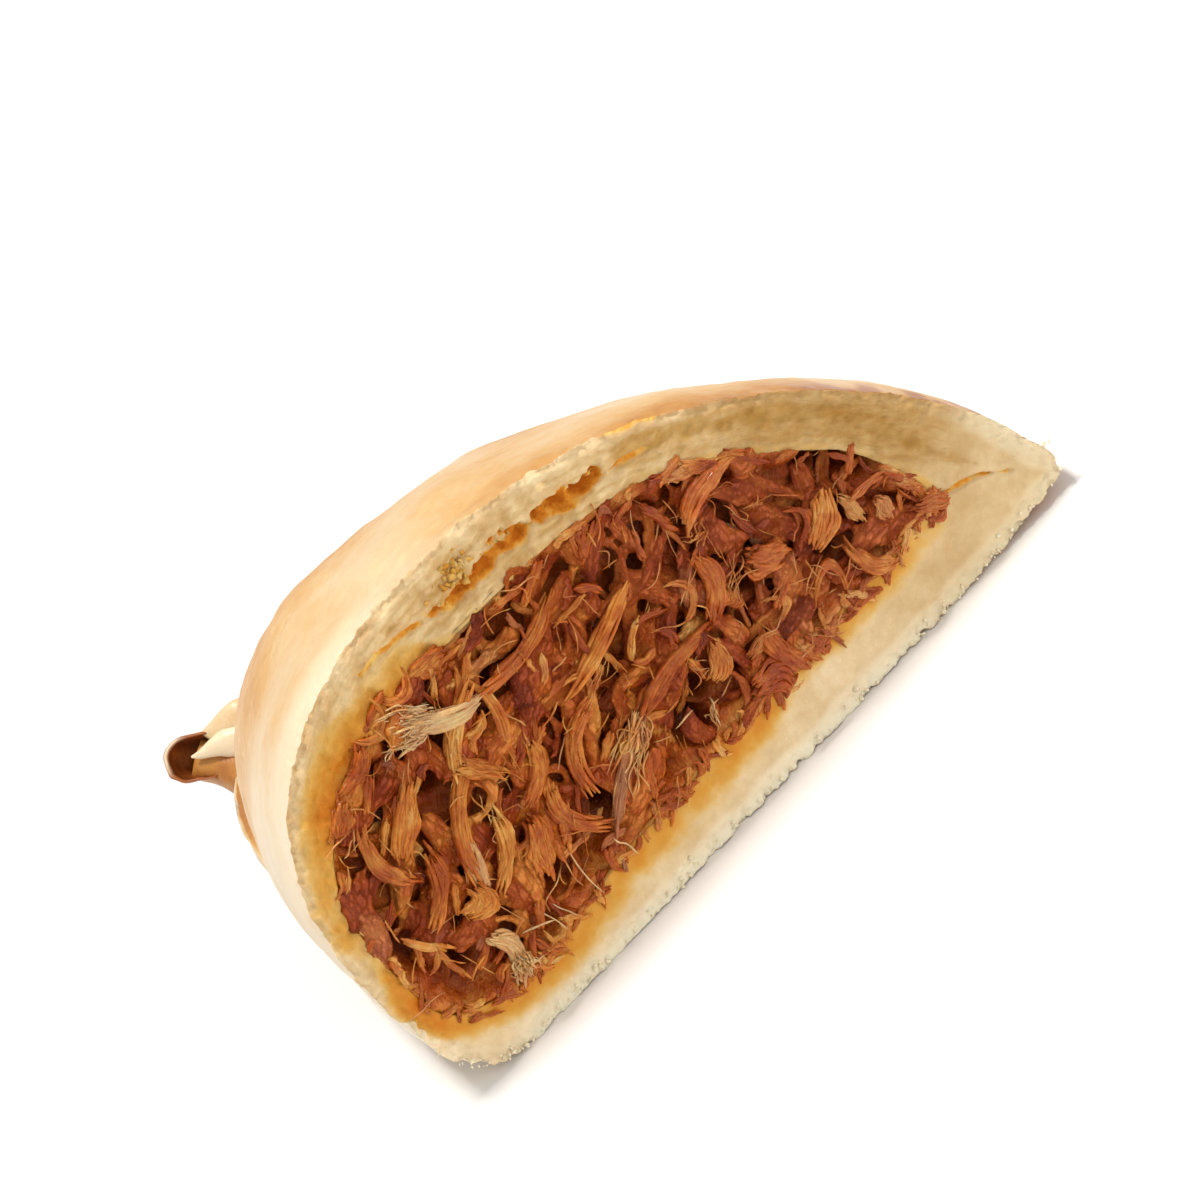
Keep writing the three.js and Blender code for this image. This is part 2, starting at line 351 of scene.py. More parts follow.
def colour(red, green, blue):
    """A screen colour from 0 to 255, as Blender's linear colour."""
    channels = [c / 255 for c in (red, green, blue)]
    linear = [c / 12.92 if c <= 0.04045 else ((c + 0.055) / 1.055) ** 2.4 for c in channels]
    return (*linear, 1.0)


class Finish:
    """A material and short ways to add its nodes."""

    def __init__(self, name, roughness=0.6, **shader):
        self.material = bpy.data.materials.new(name)
        self.material.use_nodes = True
        self.tree = self.material.node_tree
        self.shader = self.tree.nodes["Principled BSDF"]
        self.shader.inputs["Roughness"].default_value = roughness
        for socket, value in shader.items():
            self.shader.inputs[socket.replace("_", " ")].default_value = value
        self.place = self.tree.nodes.new("ShaderNodeTexCoord").outputs["Object"]

    def node(self, kind, **settings):
        made = self.tree.nodes.new(kind)
        for name, value in settings.items():
            setattr(made, name, value)
        return made

    def feed(self, socket, value):
        if isinstance(value, bpy.types.NodeSocket):
            self.tree.links.new(value, socket)
        else:
            socket.default_value = value

    def mark(self, name):
        return self.node("ShaderNodeAttribute", attribute_name=name).outputs["Fac"]

    def noise(self, size, detail=3.0, stretch=None, place=None, rough=0.55):
        """Noise whose bumps are about size millimetres apart."""
        made = self.node("ShaderNodeTexNoise")
        made.inputs["Scale"].default_value = 1000 / size
        made.inputs["Detail"].default_value = detail
        made.inputs["Roughness"].default_value = rough
        spot = place or self.place
        if stretch:
            mapping = self.node("ShaderNodeMapping")
            mapping.inputs["Scale"].default_value = stretch
            self.feed(mapping.inputs["Vector"], spot)
            spot = mapping.outputs["Vector"]
        self.feed(made.inputs["Vector"], spot)
        return made.outputs["Fac"]

    def math(self, operation, first, second=0.0, third=0.0):
        made = self.node("ShaderNodeMath", operation=operation)
        for socket, value in zip(made.inputs, (first, second, third)):
            self.feed(socket, value)
        return made.outputs[0]

    def span(self, value, start, end, low=0.0, high=1.0):
        """value from start to end, turned into low to high."""
        made = self.node("ShaderNodeMapRange", interpolation_type="SMOOTHSTEP")
        for name, number in (("From Min", start), ("From Max", end), ("To Min", low), ("To Max", high)):
            made.inputs[name].default_value = number
        self.feed(made.inputs["Value"], value)
        return made.outputs["Result"]

    def ramp(self, value, *stops):
        made = self.node("ShaderNodeValToRGB")
        elements = made.color_ramp.elements
        while len(elements) < len(stops):
            elements.new(0.5)
        for element, (spot, shade) in zip(elements, stops):
            element.position = spot
            element.color = shade
        self.feed(made.inputs["Fac"], value)
        return made.outputs["Color"]

    def blend(self, share, first, second, how="MIX"):
        made = self.node("ShaderNodeMix", data_type="RGBA", blend_type=how)
        self.feed(made.inputs["Factor"], share)
        self.feed(made.inputs[6], first)
        self.feed(made.inputs[7], second)
        return made.outputs[2]

    def bump(self, height, distance, strength=1.0, under=None):
        """Relief of height millimetres times distance."""
        made = self.node("ShaderNodeBump")
        made.inputs["Strength"].default_value = strength
        made.inputs["Distance"].default_value = distance / 1000
        self.feed(made.inputs["Height"], height)
        if under is not None:
            self.feed(made.inputs["Normal"], under)
        return made.outputs["Normal"]

    def use(self, **inputs):
        for name, value in inputs.items():
            self.feed(self.shader.inputs[name.replace("_", " ")], value)
        return self.material


def baked_skin():
    """Baked, egg-washed outside: pale by the fold, amber over the back, toasted at the rim."""
    dough = Finish("baked_skin", 0.42, Subsurface_Weight=0.12, Subsurface_Scale=0.002, Coat_Weight=0.15,
                   Coat_Roughness=0.3)
    patches = dough.noise(15, 4)
    toasted = dough.math("ADD", dough.mark("toast"), dough.span(patches, 0.3, 0.7, -0.06, 0.06))
    toasted = dough.math("ADD", toasted, dough.span(dough.noise(1.6, 3), 0.35, 0.7, -0.02, 0.04))
    shade = dough.ramp(
        toasted,
        (0.0, colour(234, 212, 176)),
        (0.2, colour(230, 198, 148)),
        (0.4, colour(221, 173, 106)),
        (0.58, colour(202, 140, 62)),
        (0.76, colour(158, 88, 32)),
        (1.0, colour(84, 32, 12)),
    )
    # Faint pale cracks in the glaze, where the mark crease lets them show.
    vein = dough.math("ABSOLUTE", dough.math("SUBTRACT", dough.noise(26, 5, rough=0.62), 0.5))
    crack = dough.math("MULTIPLY", dough.span(vein, 0.0, 0.009, 1.0, 0.0), dough.mark("crease"))
    crack = dough.math("MULTIPLY", crack, dough.span(dough.noise(30, 1), 0.49, 0.6))
    shade = dough.blend(dough.math("MULTIPLY", crack, 0.38), shade, colour(240, 208, 146))
    # Paler skin beside the cut and along the rim's torn edge, and a painted highlight on the ear's lip.
    shade = dough.blend(dough.mark("pale_line"), shade, colour(249, 231, 198))
    speck = dough.math("MULTIPLY", dough.span(dough.noise(3.0, 1), 0.75, 0.79), dough.mark("crease"))
    shade = dough.blend(dough.math("MULTIPLY", speck, 0.6), shade, colour(128, 70, 26))
    crumbly = dough.noise(1.6, 4, rough=0.7)
    holes = dough.math("MULTIPLY", dough.span(crumbly, 0.36, 0.5, 1.0, 0.0), dough.mark("rim_cut"))
    shade = dough.blend(dough.math("MULTIPLY", holes, 0.6), shade, colour(206, 158, 96))
    relief = dough.bump(dough.span(dough.noise(0.9, 2), 0.2, 0.8), 0.10, 0.5)
    relief = dough.bump(dough.math("MULTIPLY", crumbly, dough.mark("rim_cut")), 1.1, 1.0, relief)
    relief = dough.bump(dough.noise(0.28, 2), 0.05, 0.5, relief)
    relief = dough.bump(crack, -0.12, 0.6, relief)
    gloss = dough.span(patches, 0.3, 0.75, 0.32, 0.54)
    return dough.use(Base_Color=shade, Roughness=gloss, Normal=relief)


def torn_crumb():
    """The cut through the dough: dry, pale and in flaky layers, soaked golden beside the meat."""
    crumb = Finish("torn_crumb", 0.85, Subsurface_Weight=0.15, Subsurface_Scale=0.0012,
                   Specular_IOR_Level=0.15)
    layers = crumb.node("ShaderNodeAttribute", attribute_name="lie").outputs["Vector"]
    leaf = crumb.noise(1.0, 4, (0.3, 0.9, 1.0), layers, 0.62)
    grain = crumb.noise(0.8, 4, rough=0.7)
    soft = crumb.noise(4.5, 3)
    lid = crumb.ramp(
        crumb.math("ADD", crumb.math("MULTIPLY", leaf, 0.45), crumb.math("MULTIPLY", soft, 0.55)),
        (0.36, colour(194, 149, 84)), (0.5, colour(216, 180, 125)), (0.64, colour(237, 210, 160))
    )
    base = crumb.ramp(
        crumb.math("ADD", crumb.math("MULTIPLY", grain, 0.25), crumb.math("MULTIPLY", soft, 0.75)),
        (0.3, colour(214, 182, 134)), (0.5, colour(229, 202, 157)), (0.68, colour(243, 221, 181))
    )
    shade = crumb.blend(crumb.mark("lid"), base, lid)
    shade = crumb.blend(crumb.math("MULTIPLY", crumb.mark("flake_line"), 0.8), shade, colour(188, 140, 62))
    # The torn edge's own pale crumb, whitened further at the base's outer edge as a painted highlight.
    shade = crumb.blend(crumb.math("MULTIPLY", crumb.mark("torn_edge"), 0.9), shade, colour(255, 242, 212))
    # Towards the sealed rim the crumb is darker and more yellow.
    sealed = crumb.math("MULTIPLY", crumb.mark("seal"), 0.85)
    shade = crumb.blend(sealed, shade, colour(225, 212, 185), "MULTIPLY")
    soak = crumb.math("ADD", crumb.mark("soak"), crumb.span(crumb.noise(2.4, 3), 0.3, 0.7, -0.09, 0.09))
    oil = crumb.ramp(
        soak,
        (0.1, colour(231, 202, 148)),
        (0.4, colour(222, 176, 92)),
        (0.7, colour(213, 148, 52)),
        (1.0, colour(204, 112, 10)),
    )
    shade = crumb.blend(crumb.span(soak, 0.0, 0.6), shade, oil)
    split = crumb.mark("split")
    patchy = crumb.math("ADD", split, crumb.span(crumb.noise(1.6, 3), 0.3, 0.7, -0.45, 0.3))
    deep = crumb.ramp(
        patchy, (0.0, colour(240, 196, 106)), (0.45, colour(230, 156, 50)), (1.0, colour(190, 106, 20))
    )
    shade = crumb.blend(crumb.span(split, 0.05, 0.4), shade, deep)
    flakes = crumb.math("MULTIPLY", leaf, crumb.mark("lid"))
    relief = crumb.bump(grain, 0.2, 0.8)
    relief = crumb.bump(flakes, 0.25, 0.9, relief)
    relief = crumb.bump(crumb.noise(0.22, 2), 0.05, 0.7, relief)
    return crumb.use(Base_Color=shade, Roughness=crumb.span(soak, 0.2, 0.8, 0.9, 0.38), Normal=relief)


def stewed_meat():
    """Pulled meat in its sauce: fibres run along each piece, and painted shade darkens the gaps between, the
    more the deeper they lie behind the cut.
    """
    meat = Finish("stewed_meat", 0.4, Subsurface_Weight=0.22, Subsurface_Scale=0.0012,
                  Subsurface_Radius=(1.0, 0.4, 0.2), Specular_IOR_Level=0.3)
    lengthwise = meat.node("ShaderNodeAttribute", attribute_name="grain").outputs["Vector"]
    fibre = meat.noise(1, 3, (0.3, 2.6, 2.6), lengthwise, 0.6)
    value = meat.math("ADD", meat.mark("tint"), meat.span(fibre, 0.3, 0.7, -0.10, 0.10))
    value = meat.math("ADD", value, meat.span(meat.noise(3.0, 3), 0.3, 0.7, -0.17, 0.13))
    brown = meat.ramp(
        value,
        (0.0, colour(112, 34, 4)),
        (0.3, colour(158, 60, 8)),
        (0.55, colour(190, 92, 24)),
        (0.78, colour(222, 136, 52)),
        (1.0, colour(244, 188, 104)),
    )
    pink = meat.ramp(
        value,
        (0.0, colour(110, 34, 6)),
        (0.35, colour(158, 64, 22)),
        (0.65, colour(194, 98, 44)),
        (1.0, colour(230, 158, 92)),
    )
    shade = meat.blend(meat.mark("rosy"), brown, pink)
    pale = meat.math("MULTIPLY", meat.mark("pale"), meat.span(fibre, 0.3, 0.6, 0.6, 1.0))
    shade = meat.blend(pale, shade, colour(232, 200, 148))
    # Painted shade: the deeper the meat lies behind the cut, the darker its colour.
    behind = meat.node("ShaderNodeSeparateXYZ")
    meat.feed(behind.inputs[0], meat.place)
    cut = SHIFT[1] / 1000
    gap = meat.span(behind.outputs["Y"], cut + 0.0014, cut + 0.006, 0.0, 0.75)
    shade = meat.blend(gap, shade, colour(84, 26, 4))
    relief = meat.bump(fibre, 0.3, 0.9)
    relief = meat.bump(meat.noise(0.8, 3), 0.3, 0.8, relief)
    wet = meat.span(meat.noise(2.0, 2), 0.38, 0.62, 0.15, 0.38)
    return meat.use(Base_Color=shade, Roughness=wet, Normal=relief)


def plain_floor():
    """A plain pale floor, barely cloudy."""
    floor = Finish("plain_floor", 0.7)
    cloudy = floor.noise(400, 2)
    shade = floor.ramp(cloudy, (0.3, colour(240, 239, 237)), (0.7, colour(244, 243, 241)))
    return floor.use(Base_Color=shade)


SKIN = baked_skin()
CRUMB = torn_crumb()
MEAT = stewed_meat()

# ---- Dough -----------------------------------------------------------------------------------

BASE_STEPS = 170
DOME_STEPS = 240
CUT_RINGS = 30
SPLIT_DEPTH = 1.5
# The middle of the cut, as x, z: what breaks or hangs over an edge does so away from it.
CUT_MIDDLE = np.array([38.0, 20.0])

# Where the lid's two sheets of dough came apart, as x, z, half width.
LID_SPLITS = [
    [(30.5, 44.5, 0.3), (33.0, 44.1, 0.7), (35.6, 43.9, 1.0), (38.5, 43.9, 1.3), (40.6, 44.0, 0.6)],
    [(41.0, 44.0, 0.5), (42.8, 43.8, 1.3), (44.8, 43.7, 1.2), (46.0, 43.5, 0.6)],
    [(46.4, 43.5, 0.7), (48.6, 43.2, 1.5), (51.0, 42.7, 1.45), (53.2, 42.1, 1.0), (55.5, 41.4, 0.3)],
]
# Fine cracks, as x, z, half width, and how far each is open.
CRACKS = [
    ([(22.0, 45.4, 0.05), (24.5, 45.6, 0.22), (27.0, 45.2, 0.2), (30.2, 44.6, 0.25)], 0.4),
    ([(55.5, 41.4, 0.15), (58.0, 40.6, 0.2), (61.5, 39.2, 0.08)], 0.4),
    ([(80.5, 10.5, 0.3), (82.5, 9.9, 0.2), (84.6, 9.1, 0.12), (87.6, 6.7, 0.04)], 0.5),
    ([(57.8, 44.4, 0.05), (60.2, 43.4, 0.16), (63.1, 41.6, 0.05)], 0.4),
]
# A soft yellow line where the lid's sheets still hold together.
YELLOW_LINE = [(57.0, 41.6, 0.4), (63.3, 39.2, 0.7), (68.6, 35.2, 0.8), (73.5, 31.3, 0.9), (77.7, 26.8, 0.8),
               (81.0, 20.6, 0.6), (83.2, 13.7, 0.4), (85.3, 10.3, 0.2)]

# Round the meat's edge: x, z, how wide and how deeply the dough is soaked, how far meat laps over it.
EDGE_SPOTS = [
    (9, 35, 6.0, 0.88, 0.9), (15, 38, 6.4, 0.88, 1.3), (20, 40, 6.4, 0.8, 2.2), (26, 41, 6.0, 0.66, 1.4),
    (32, 41, 1.6, 0.4, -0.4), (40, 41, 0.9, 0.3, -0.8), (50, 40, 1.0, 0.25, -0.6), (56, 38, 1.4, 0.3, -0.3),
    (61, 35, 1.6, 0.35, 0.3), (66, 32, 1.8, 0.4, 0.6), (71, 27, 1.5, 0.25, -0.4), (76, 22, 1.2, 0.2, -0.6),
    (81, 12, 1.5, 0.4, 0.0), (76, 10, 4.0, 0.46, 0.0), (70, 10, 4.2, 0.75, 0.8), (63, 10, 4.4, 0.7, 0.9),
    (56, 9, 4.0, 0.6, 1.3), (48, 9, 5.4, 0.78, 0.3), (39, 9, 6.2, 0.62, -0.2), (32, 9, 6.8, 0.72, 0.2),
    (24, 7, 5.7, 0.68, 0.2), (16, 6, 5.0, 0.76, 0.0), (11, 7, 4.2, 0.8, 0.4), (6, 8, 5.0, 0.7, 0.2),
    (3, 11, 3.8, 0.9, 0.0), (3, 14.5, 3.8, 1.0, 0.0), (3, 17.5, 2.9, 0.75, 0.0), (3, 21, 2.2, 0.35, -0.4),
    (3.4, 25, 4.8, 0.56, 0.0), (5, 29, 5.2, 0.5, 0.0), (7, 33, 4.0, 0.62, 0.3),
]


def to_path(spots, path):
    """Distance from each x, z spot to a path of x, z, half width, minus its width, and the side."""
    best = np.full(len(spots), 1e9)
    side = np.zeros(len(spots))
    for first, second in zip(path[:-1], path[1:]):
        start, end = np.array(first[:2]), np.array(second[:2])
        run = end - start
        share = np.clip(((spots - start) @ run) / (run @ run), 0, 1)
        offset = spots - start - share[:, None] * run
        gap = np.hypot(offset[:, 0], offset[:, 1]) - mix(first[2], second[2], share)
        closer = gap < best
        best = np.where(closer, gap, best)
        side = np.where(closer, run[0] * offset[:, 1] - run[1] * offset[:, 0], side)
    return best, np.sign(side)


def nearest(spots, line):
    """Distance from each x, z spot to the nearest point of a line."""
    found = np.empty(len(spots))
    for start in range(0, len(spots), 2000):
        block = spots[start:start + 2000, None, :] - line[None, :, :]
        found[start:start + 2000] = np.sqrt((block ** 2).sum(-1).min(1))
    return found


def knife_face(flat, to_skin, to_meat):
    """The cut's surface at x, z spots: depth behind the knife, chips off the outline, and marks."""
    x, z = flat[:, 0], flat[:, 1]
    lid = ease(z, 11, 20)
    grain = rough(flat, 1.2, 21, 3)
    lumps = rough(flat, 4.5, 22, 2)
    flakes = np.sin((to_skin + 0.45 * wander(flat, 3.0, 23)) * 2 * np.pi / 1.25)
    depth = 0.3 + 0.24 * lumps * mix(0.4, 1, lid) + mix(0.08, 0.26, lid) * grain + 0.06 * flakes * lid
    torn = 1 - ease(to_skin, mix(1.6, 0.2, lid), mix(2.4, 1.2, lid) + 0.4 * wander(flat, 2.0, 24))
    depth = depth + torn * (0.12 + 0.35 * np.abs(rough(flat, 0.9, 25, 2)))
    rim = (1 - ease(to_skin, 0, 0.9)) * (1 - lid)
    depth = depth + rim * (0.9 * np.maximum(0, rough(flat, 1.5, 31, 3)) - 0.25)
    split = np.zeros(len(flat))
    jag = rough(flat, 1.3, 26, 3)
    for path in LID_SPLITS:
        gap, side = to_path(flat, path)
        ragged = gap + np.where(side > 0, 0.9, 0.4) * jag
        split = np.maximum(split, 1 - ease(ragged, -0.8, 0.15))
    for path, open_share in CRACKS:
        gap, side = to_path(flat, path)
        split = np.maximum(split, open_share * (1 - ease(gap + 0.15 * jag, -0.1, 0.25)))
    yellow, _ = to_path(flat, YELLOW_LINE)
    yellow = 1 - ease(yellow + 0.5 * jag, -0.7, 0.9)
    depth = depth + split * (SPLIT_DEPTH + 0.6 * rough(flat, 1.8, 32, 2)) + 0.3 * yellow
    depth = np.where(to_meat < 0.05, np.maximum(depth, 0.4), depth)
    # Bits are broken off the outline: up into the base's edge, and in and out along the lid.
    outward = flat - CUT_MIDDLE
    outward /= np.linalg.norm(outward, axis=1, keepdims=True)
    downward = np.array([0.0, -1.0])
    outward = mix(outward, downward, ((1 - lid) * ease(x, 3, 12))[:, None])
    missing = 0.8 * np.maximum(0, rough(flat, 1.5, 27, 2)) + 0.5 * np.maximum(0, wander(flat, 3.3, 30))
    ragged = 0.15 * rough(flat, 0.9, 27, 2)
    bite = mix(-missing, ragged, lid) * (1 - ease(to_skin, 0.0, 1.6))
    chip = outward * bite[:, None]
    chip[:, 1] = np.where(z < 2, np.clip(chip[:, 1], -z, 0.15), chip[:, 1])
    return depth, chip, split, yellow, flakes


def station_angles():
    """The half turn's stations: close together by the cut, wider apart round the back."""
    by_cut = np.array([0, 0.35, 0.8, 1.4, 2.2, 3.2, 4.4, 5.8, 7.4])
    back = np.linspace(9, 171, 128)
    return np.radians(np.concatenate([by_cut, back, 180 - by_cut[::-1]]))


def browning(points, rim_share, cut_edge):
    """How far the skin is baked, 0 to 1: pale by the fold, amber over the back, toasted at the rim."""
    x, y, z = points[..., 0], points[..., 1], points[..., 2]
    toast = 0.08 + 0.17 * ease(z, 16, 48) + 0.10 * ease(x, 15, 60) * ease(z, 6, 20)
    toast = toast + 0.34 * ease(y, 12, 40)
    toast = toast + 0.16 * ease(x, 58, 84) * (1 - ease(y, 6, 20))
    toast = toast + 0.16 * ease(x, 34, 52) * (1 - ease(y, 1.5, 8))
    toast = toast + 0.24 * ease(x, 74, 82) * (1 - ease(y, 4, 9)) * ease(rough(points, 3.0, 13, 2), -0.5, 0.3)
    toast = toast + rim_share * (0.20 + 0.30 * wander(points, 7.0, 5))
    toast = toast + 0.08 * rough(points, 11.0, 8, 3)
    toast = mix(toast, 0.10, cut_edge)
    under = 1 - ease(z, 0.4, 3.0)
    return mix(np.clip(toast, 0, 1), 0.46 + 0.14 * rough(points, 9.0, 12, 3), under)


def half_turn_ids(loop_ids, stations, last, first):
    """Corner numbers of a grid that joins a loop to itself over half a turn, and the next number."""
    ids = np.empty((stations, last + 1), dtype=np.int64)
    ids[0] = loop_ids[:last + 1]
    ids[-1] = np.concatenate([[loop_ids[0]], loop_ids[last:][::-1]])
    ids[:, 0], ids[:, -1] = loop_ids[0], loop_ids[last]
    inner = (stations - 2) * (last - 1)
    ids[1:-1, 1:-1] = first + np.arange(inner).reshape(stations - 2, last - 1)
    return ids, first + inner


def loop_of(grid):
    """The closed outline in the cut of a grid of half-turn stations."""
    return np.concatenate([grid[0, :-1], grid[-1, :0:-1]])


def roughened(outside, angles):
    """The outer skin with its creases rounded, faint dents, and pits in the rim's cut edge."""
    for _ in range(3):
        outside[:, 1:-1] = (outside[:, :-2] + 2 * outside[:, 1:-1] + outside[:, 2:]) / 4
    outside[..., 2] = np.maximum(outside[..., 2], 0)
    normals = grid_normals(outside)
    if ((outside - outside.mean(axis=(0, 1))) * normals).sum() < 0:
        normals = -normals
    turn = np.degrees(angles)[:, None]
    radius = np.hypot(outside[..., 0] - CROWN_X, outside[..., 1])
    far = radius / radius.max(axis=1, keepdims=True)
    on_rim = ease(turn, 3, 16) * (1 - ease(turn, 118, 140))
    rim_share = ease(far, 0.84, 0.94) * on_rim
    cut_edge = ease(far, 0.972, 0.985) * on_rim * ease(outside[..., 2], 1.0, 3.0)
    dents = 0.35 * rough(outside, 14.0, 3, 2) + 0.10 * rough(outside, 3.5, 4, 2)
    pits = 0.22 * rim_share * rough(outside, 1.8, 6, 2)
    pits = pits - 0.9 * cut_edge * np.maximum(0, rough(outside, 2.6, 7, 2) - 0.1)
    above = ease(outside[..., 2], 0.5, 2.5)
    outside = outside + normals * ((dents * ease(outside[..., 1], 0, 4) + pits) * above)[..., None]
    outside[..., 1:] = np.maximum(outside[..., 1:], 0)
    return outside, rim_share * (1 - cut_edge), cut_edge


def along_edge(spots, column):
    """A value of EDGE_SPOTS at each x, z spot, evened out between them."""
    rows = np.array(EDGE_SPOTS)
    far = ((spots[:, None] - rows[None, :, :2]) ** 2).sum(-1)
    weight = np.exp((far.min(1, keepdims=True) - far) / 7)
    return (weight * rows[:, column]).sum(1) / weight.sum(1)


def build_dough():
    """The whole shell of dough as one closed mesh: outer skin, torn cut and the hollow's wall."""
    angles = station_angles()
    pairs = [both_profiles(angle, BASE_STEPS, DOME_STEPS) for angle in angles]
    outside = np.array([placed(angle, pair[0]) for angle, pair in zip(angles, pairs)])
    inside = np.array([placed(angle, pair[1]) for angle, pair in zip(angles, pairs)])
    outside, rim_share, cut_edge = roughened(outside, angles)
    last = outside.shape[1] - 1

    # The band between the outer skin and the hollow, where the knife went through.
    outer_loop, inner_loop = loop_of(outside), loop_of(inside)
    shares = np.linspace(0, 1, CUT_RINGS + 1)[:, None, None]
    band = mix(outer_loop[None], inner_loop[None], shares).reshape(-1, 3)
    flat = band[:, [0, 2]].copy()
    x, z = flat.T
    to_skin = nearest(flat, outer_loop[:, [0, 2]])
    to_meat = nearest(flat, inner_loop[:, [0, 2]])
    steps = np.linalg.norm(np.diff(outer_loop, axis=0, prepend=outer_loop[:1]), axis=1)
    lie = np.column_stack([np.tile(np.cumsum(steps), CUT_RINGS + 1), to_skin, band[:, 1]])
    depth, chip, split, yellow, flakes = knife_face(flat, to_skin, to_meat)
    band[:, 1] += depth
    band[:, [0, 2]] += chip
    # The skin behind the knife's edge follows the torn edge, less and less.
    skirt = outside[..., 1] < 4
    spots = outside[skirt]
    depth, chip = knife_face(spots[:, [0, 2]], np.zeros(len(spots)), np.full(len(spots), 9.0))[:2]
    spots[:, [0, 2]] += chip * (1 - ease(spots[:, 1], 0, 3))[:, None]
    spots[:, 1] += depth * (1 - spots[:, 1] / 4)
    outside[skirt] = spots

    lid = ease(z, 11, 20)
    soak_width = along_edge(flat, 2) * (1 + 0.2 * wander(flat, 5.0, 28))
    soak = along_edge(flat, 3) * (1 - ease(to_meat, 0.25 * soak_width, 1.12 * soak_width)) + 0.12 * yellow
    edge_width = mix(2.9, 1.5, lid) + 0.5 * wander(flat, 3.0, 33)
    # Along the base's outermost millimetre or so the edge is whitened more: a painted highlight that offsets
    # the shade where the base meets the floor.
    on_base = (0.68 + 0.32 * (1 - ease(to_skin, 0.4, 1.8))) * mix(0.3, 1, ease(x, 4, 11))
    torn_edge = (1 - ease(to_skin, edge_width * 0.6, edge_width)) * mix(on_base, 0.14, lid)
    flake_line = 0.5 * ease(flakes, 0.3, 1) * lid * ease(wander(flat, 4.0, 29), -0.3, 0.5)

    # Corners: the band, then the skin behind it, then the hollow's wall, which the meat hides.
    count = len(outer_loop)
    ring_ids = np.arange(len(band)).reshape(CUT_RINGS + 1, count)
    wall = inside[np.unique(np.append(np.arange(0, len(inside), 6), len(inside) - 1))]
    skin_ids, total = half_turn_ids(ring_ids[0], len(outside), last, len(band))
    wall_ids, total = half_turn_ids(ring_ids[-1], len(wall), last, total)
    corners = np.concatenate([band, outside[1:-1, 1:-1].reshape(-1, 3), wall[1:-1, 1:-1].reshape(-1, 3)])
    cut_faces = grid_faces(np.concatenate([ring_ids, ring_ids[:, :1]], axis=1))
    skin_faces = [face[::-1] for face in grid_faces(skin_ids)]
    wall_faces = grid_faces(wall_ids)
    slots = np.ones(len(cut_faces) + len(skin_faces) + len(wall_faces))
    slots[len(cut_faces):len(cut_faces) + len(skin_faces)] = 0

    def on_cut(values, elsewhere=0.0):
        return np.concatenate([values, np.full(len(corners) - len(band), elsewhere)])

    def on_skin(values):
        spread = np.zeros(len(corners))
        inner = values[1:-1, 1:-1].reshape(-1)
        spread[len(band):len(band) + len(inner)] = inner
        spread[ring_ids[0]] = loop_of(values)
        return spread

    y = outside[..., 1]
    # The skin is paler beside the cut, from the fold up to the crown.
    by_cut = (1 - ease(y, 3, 10)) * (1 - ease(outside[..., 0], 20, 42))
    pale_by_cut = (0.62 + 0.14 * wander(outside, 6.0, 35)) * by_cut
    torn_rim = 0.5 * cut_edge * ease(rough(outside, 3.0, 9, 2), -0.4, 0.6)
    marks = {
        "toast": on_skin(browning(outside, rim_share, cut_edge)),
        "pale_line": on_skin(torn_rim + pale_by_cut),
        "crease": on_skin(ease(y, 8, 24) * ease(outside[..., 2], 8, 16)),
        "rim_cut": on_skin(cut_edge),
        "soak": on_cut(soak, 0.8),
        "split": on_cut(split),
        "torn_edge": on_cut(torn_edge),
        "flake_line": on_cut(np.maximum(flake_line + 0.3 * lid * ease(x, 48, 72), yellow)),
        "lid": on_cut(lid),
        "seal": on_cut(ease(x, 61, 78) * mix(0.65, 1, lid)),
        "lie": np.concatenate([lie, np.zeros((len(corners) - len(band), 3))]) / 1000,
    }
    faces = cut_faces + skin_faces + wall_faces
    return make_mesh("dough", to_part(corners), faces, [SKIN, CRUMB], marks, slots)


dough = build_dough()
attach(dough, "root")
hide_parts("crust")

# ---- Meat ------------------------------------------------------------------------------------

MEAT_BACK = 3.4
GAP_BACK = 6.5
CORE_RINGS = 56
CORE_MIDDLE = np.array([38.0, 20.0, 22.0])
CORE_SWELL = np.array([1.016, 1, 1.03])
CELL = 0.5

# The pulled meat is combed up to the right, in degrees, as far as COMBED_TO_X, and tumbled beyond.
GRAIN_HEADING = 46
COMBED_HEADING = 48
COMBED_TO_X = 44
ROSY_FROM_X = 42
ROSY_AT_X = 62

UNDER_PIECES = 260
UNDER_TRIES = 2600
TORN_BITS = 110
EDGE_TATTERS = 210
LOOSE_THREADS = 240
THREAD_KINDS = 14
CRUMB_KINDS = 14
BASE_CRUMBS = 170
SPLIT_CRUMBS = 70

# Deep gaps between the pieces, as x, z, radius.
GAPS = [
    (5.3, 20.5, 1.3), (19.5, 30.6, 1.7), (44.3, 27.0, 1.4), (44.0, 12.2, 2.0), (47.0, 14.5, 1.6),
    (22.0, 12.0, 1.6), (31.5, 33.0, 1.4), (52.5, 30.5, 1.6), (58.5, 19.5, 1.1), (67.5, 14.8, 1.3),
    (31.8, 14.2, 1.6), (9.0, 12.5, 1.3), (72.4, 24.4, 1.5), (74.6, 22.2, 1.8), (76.3, 19.6, 1.5),
    (71.0, 20.0, 1.2),
]


def meat_outline():
    """The hollow's outline in the cut, as x, z."""
    rows = [placed(angle, both_profiles(angle, 60, 90)[1]) for angle in (0.0, math.pi)]
    return loop_of(np.array(rows))[:, [0, 2]]


OUTLINE = meat_outline()


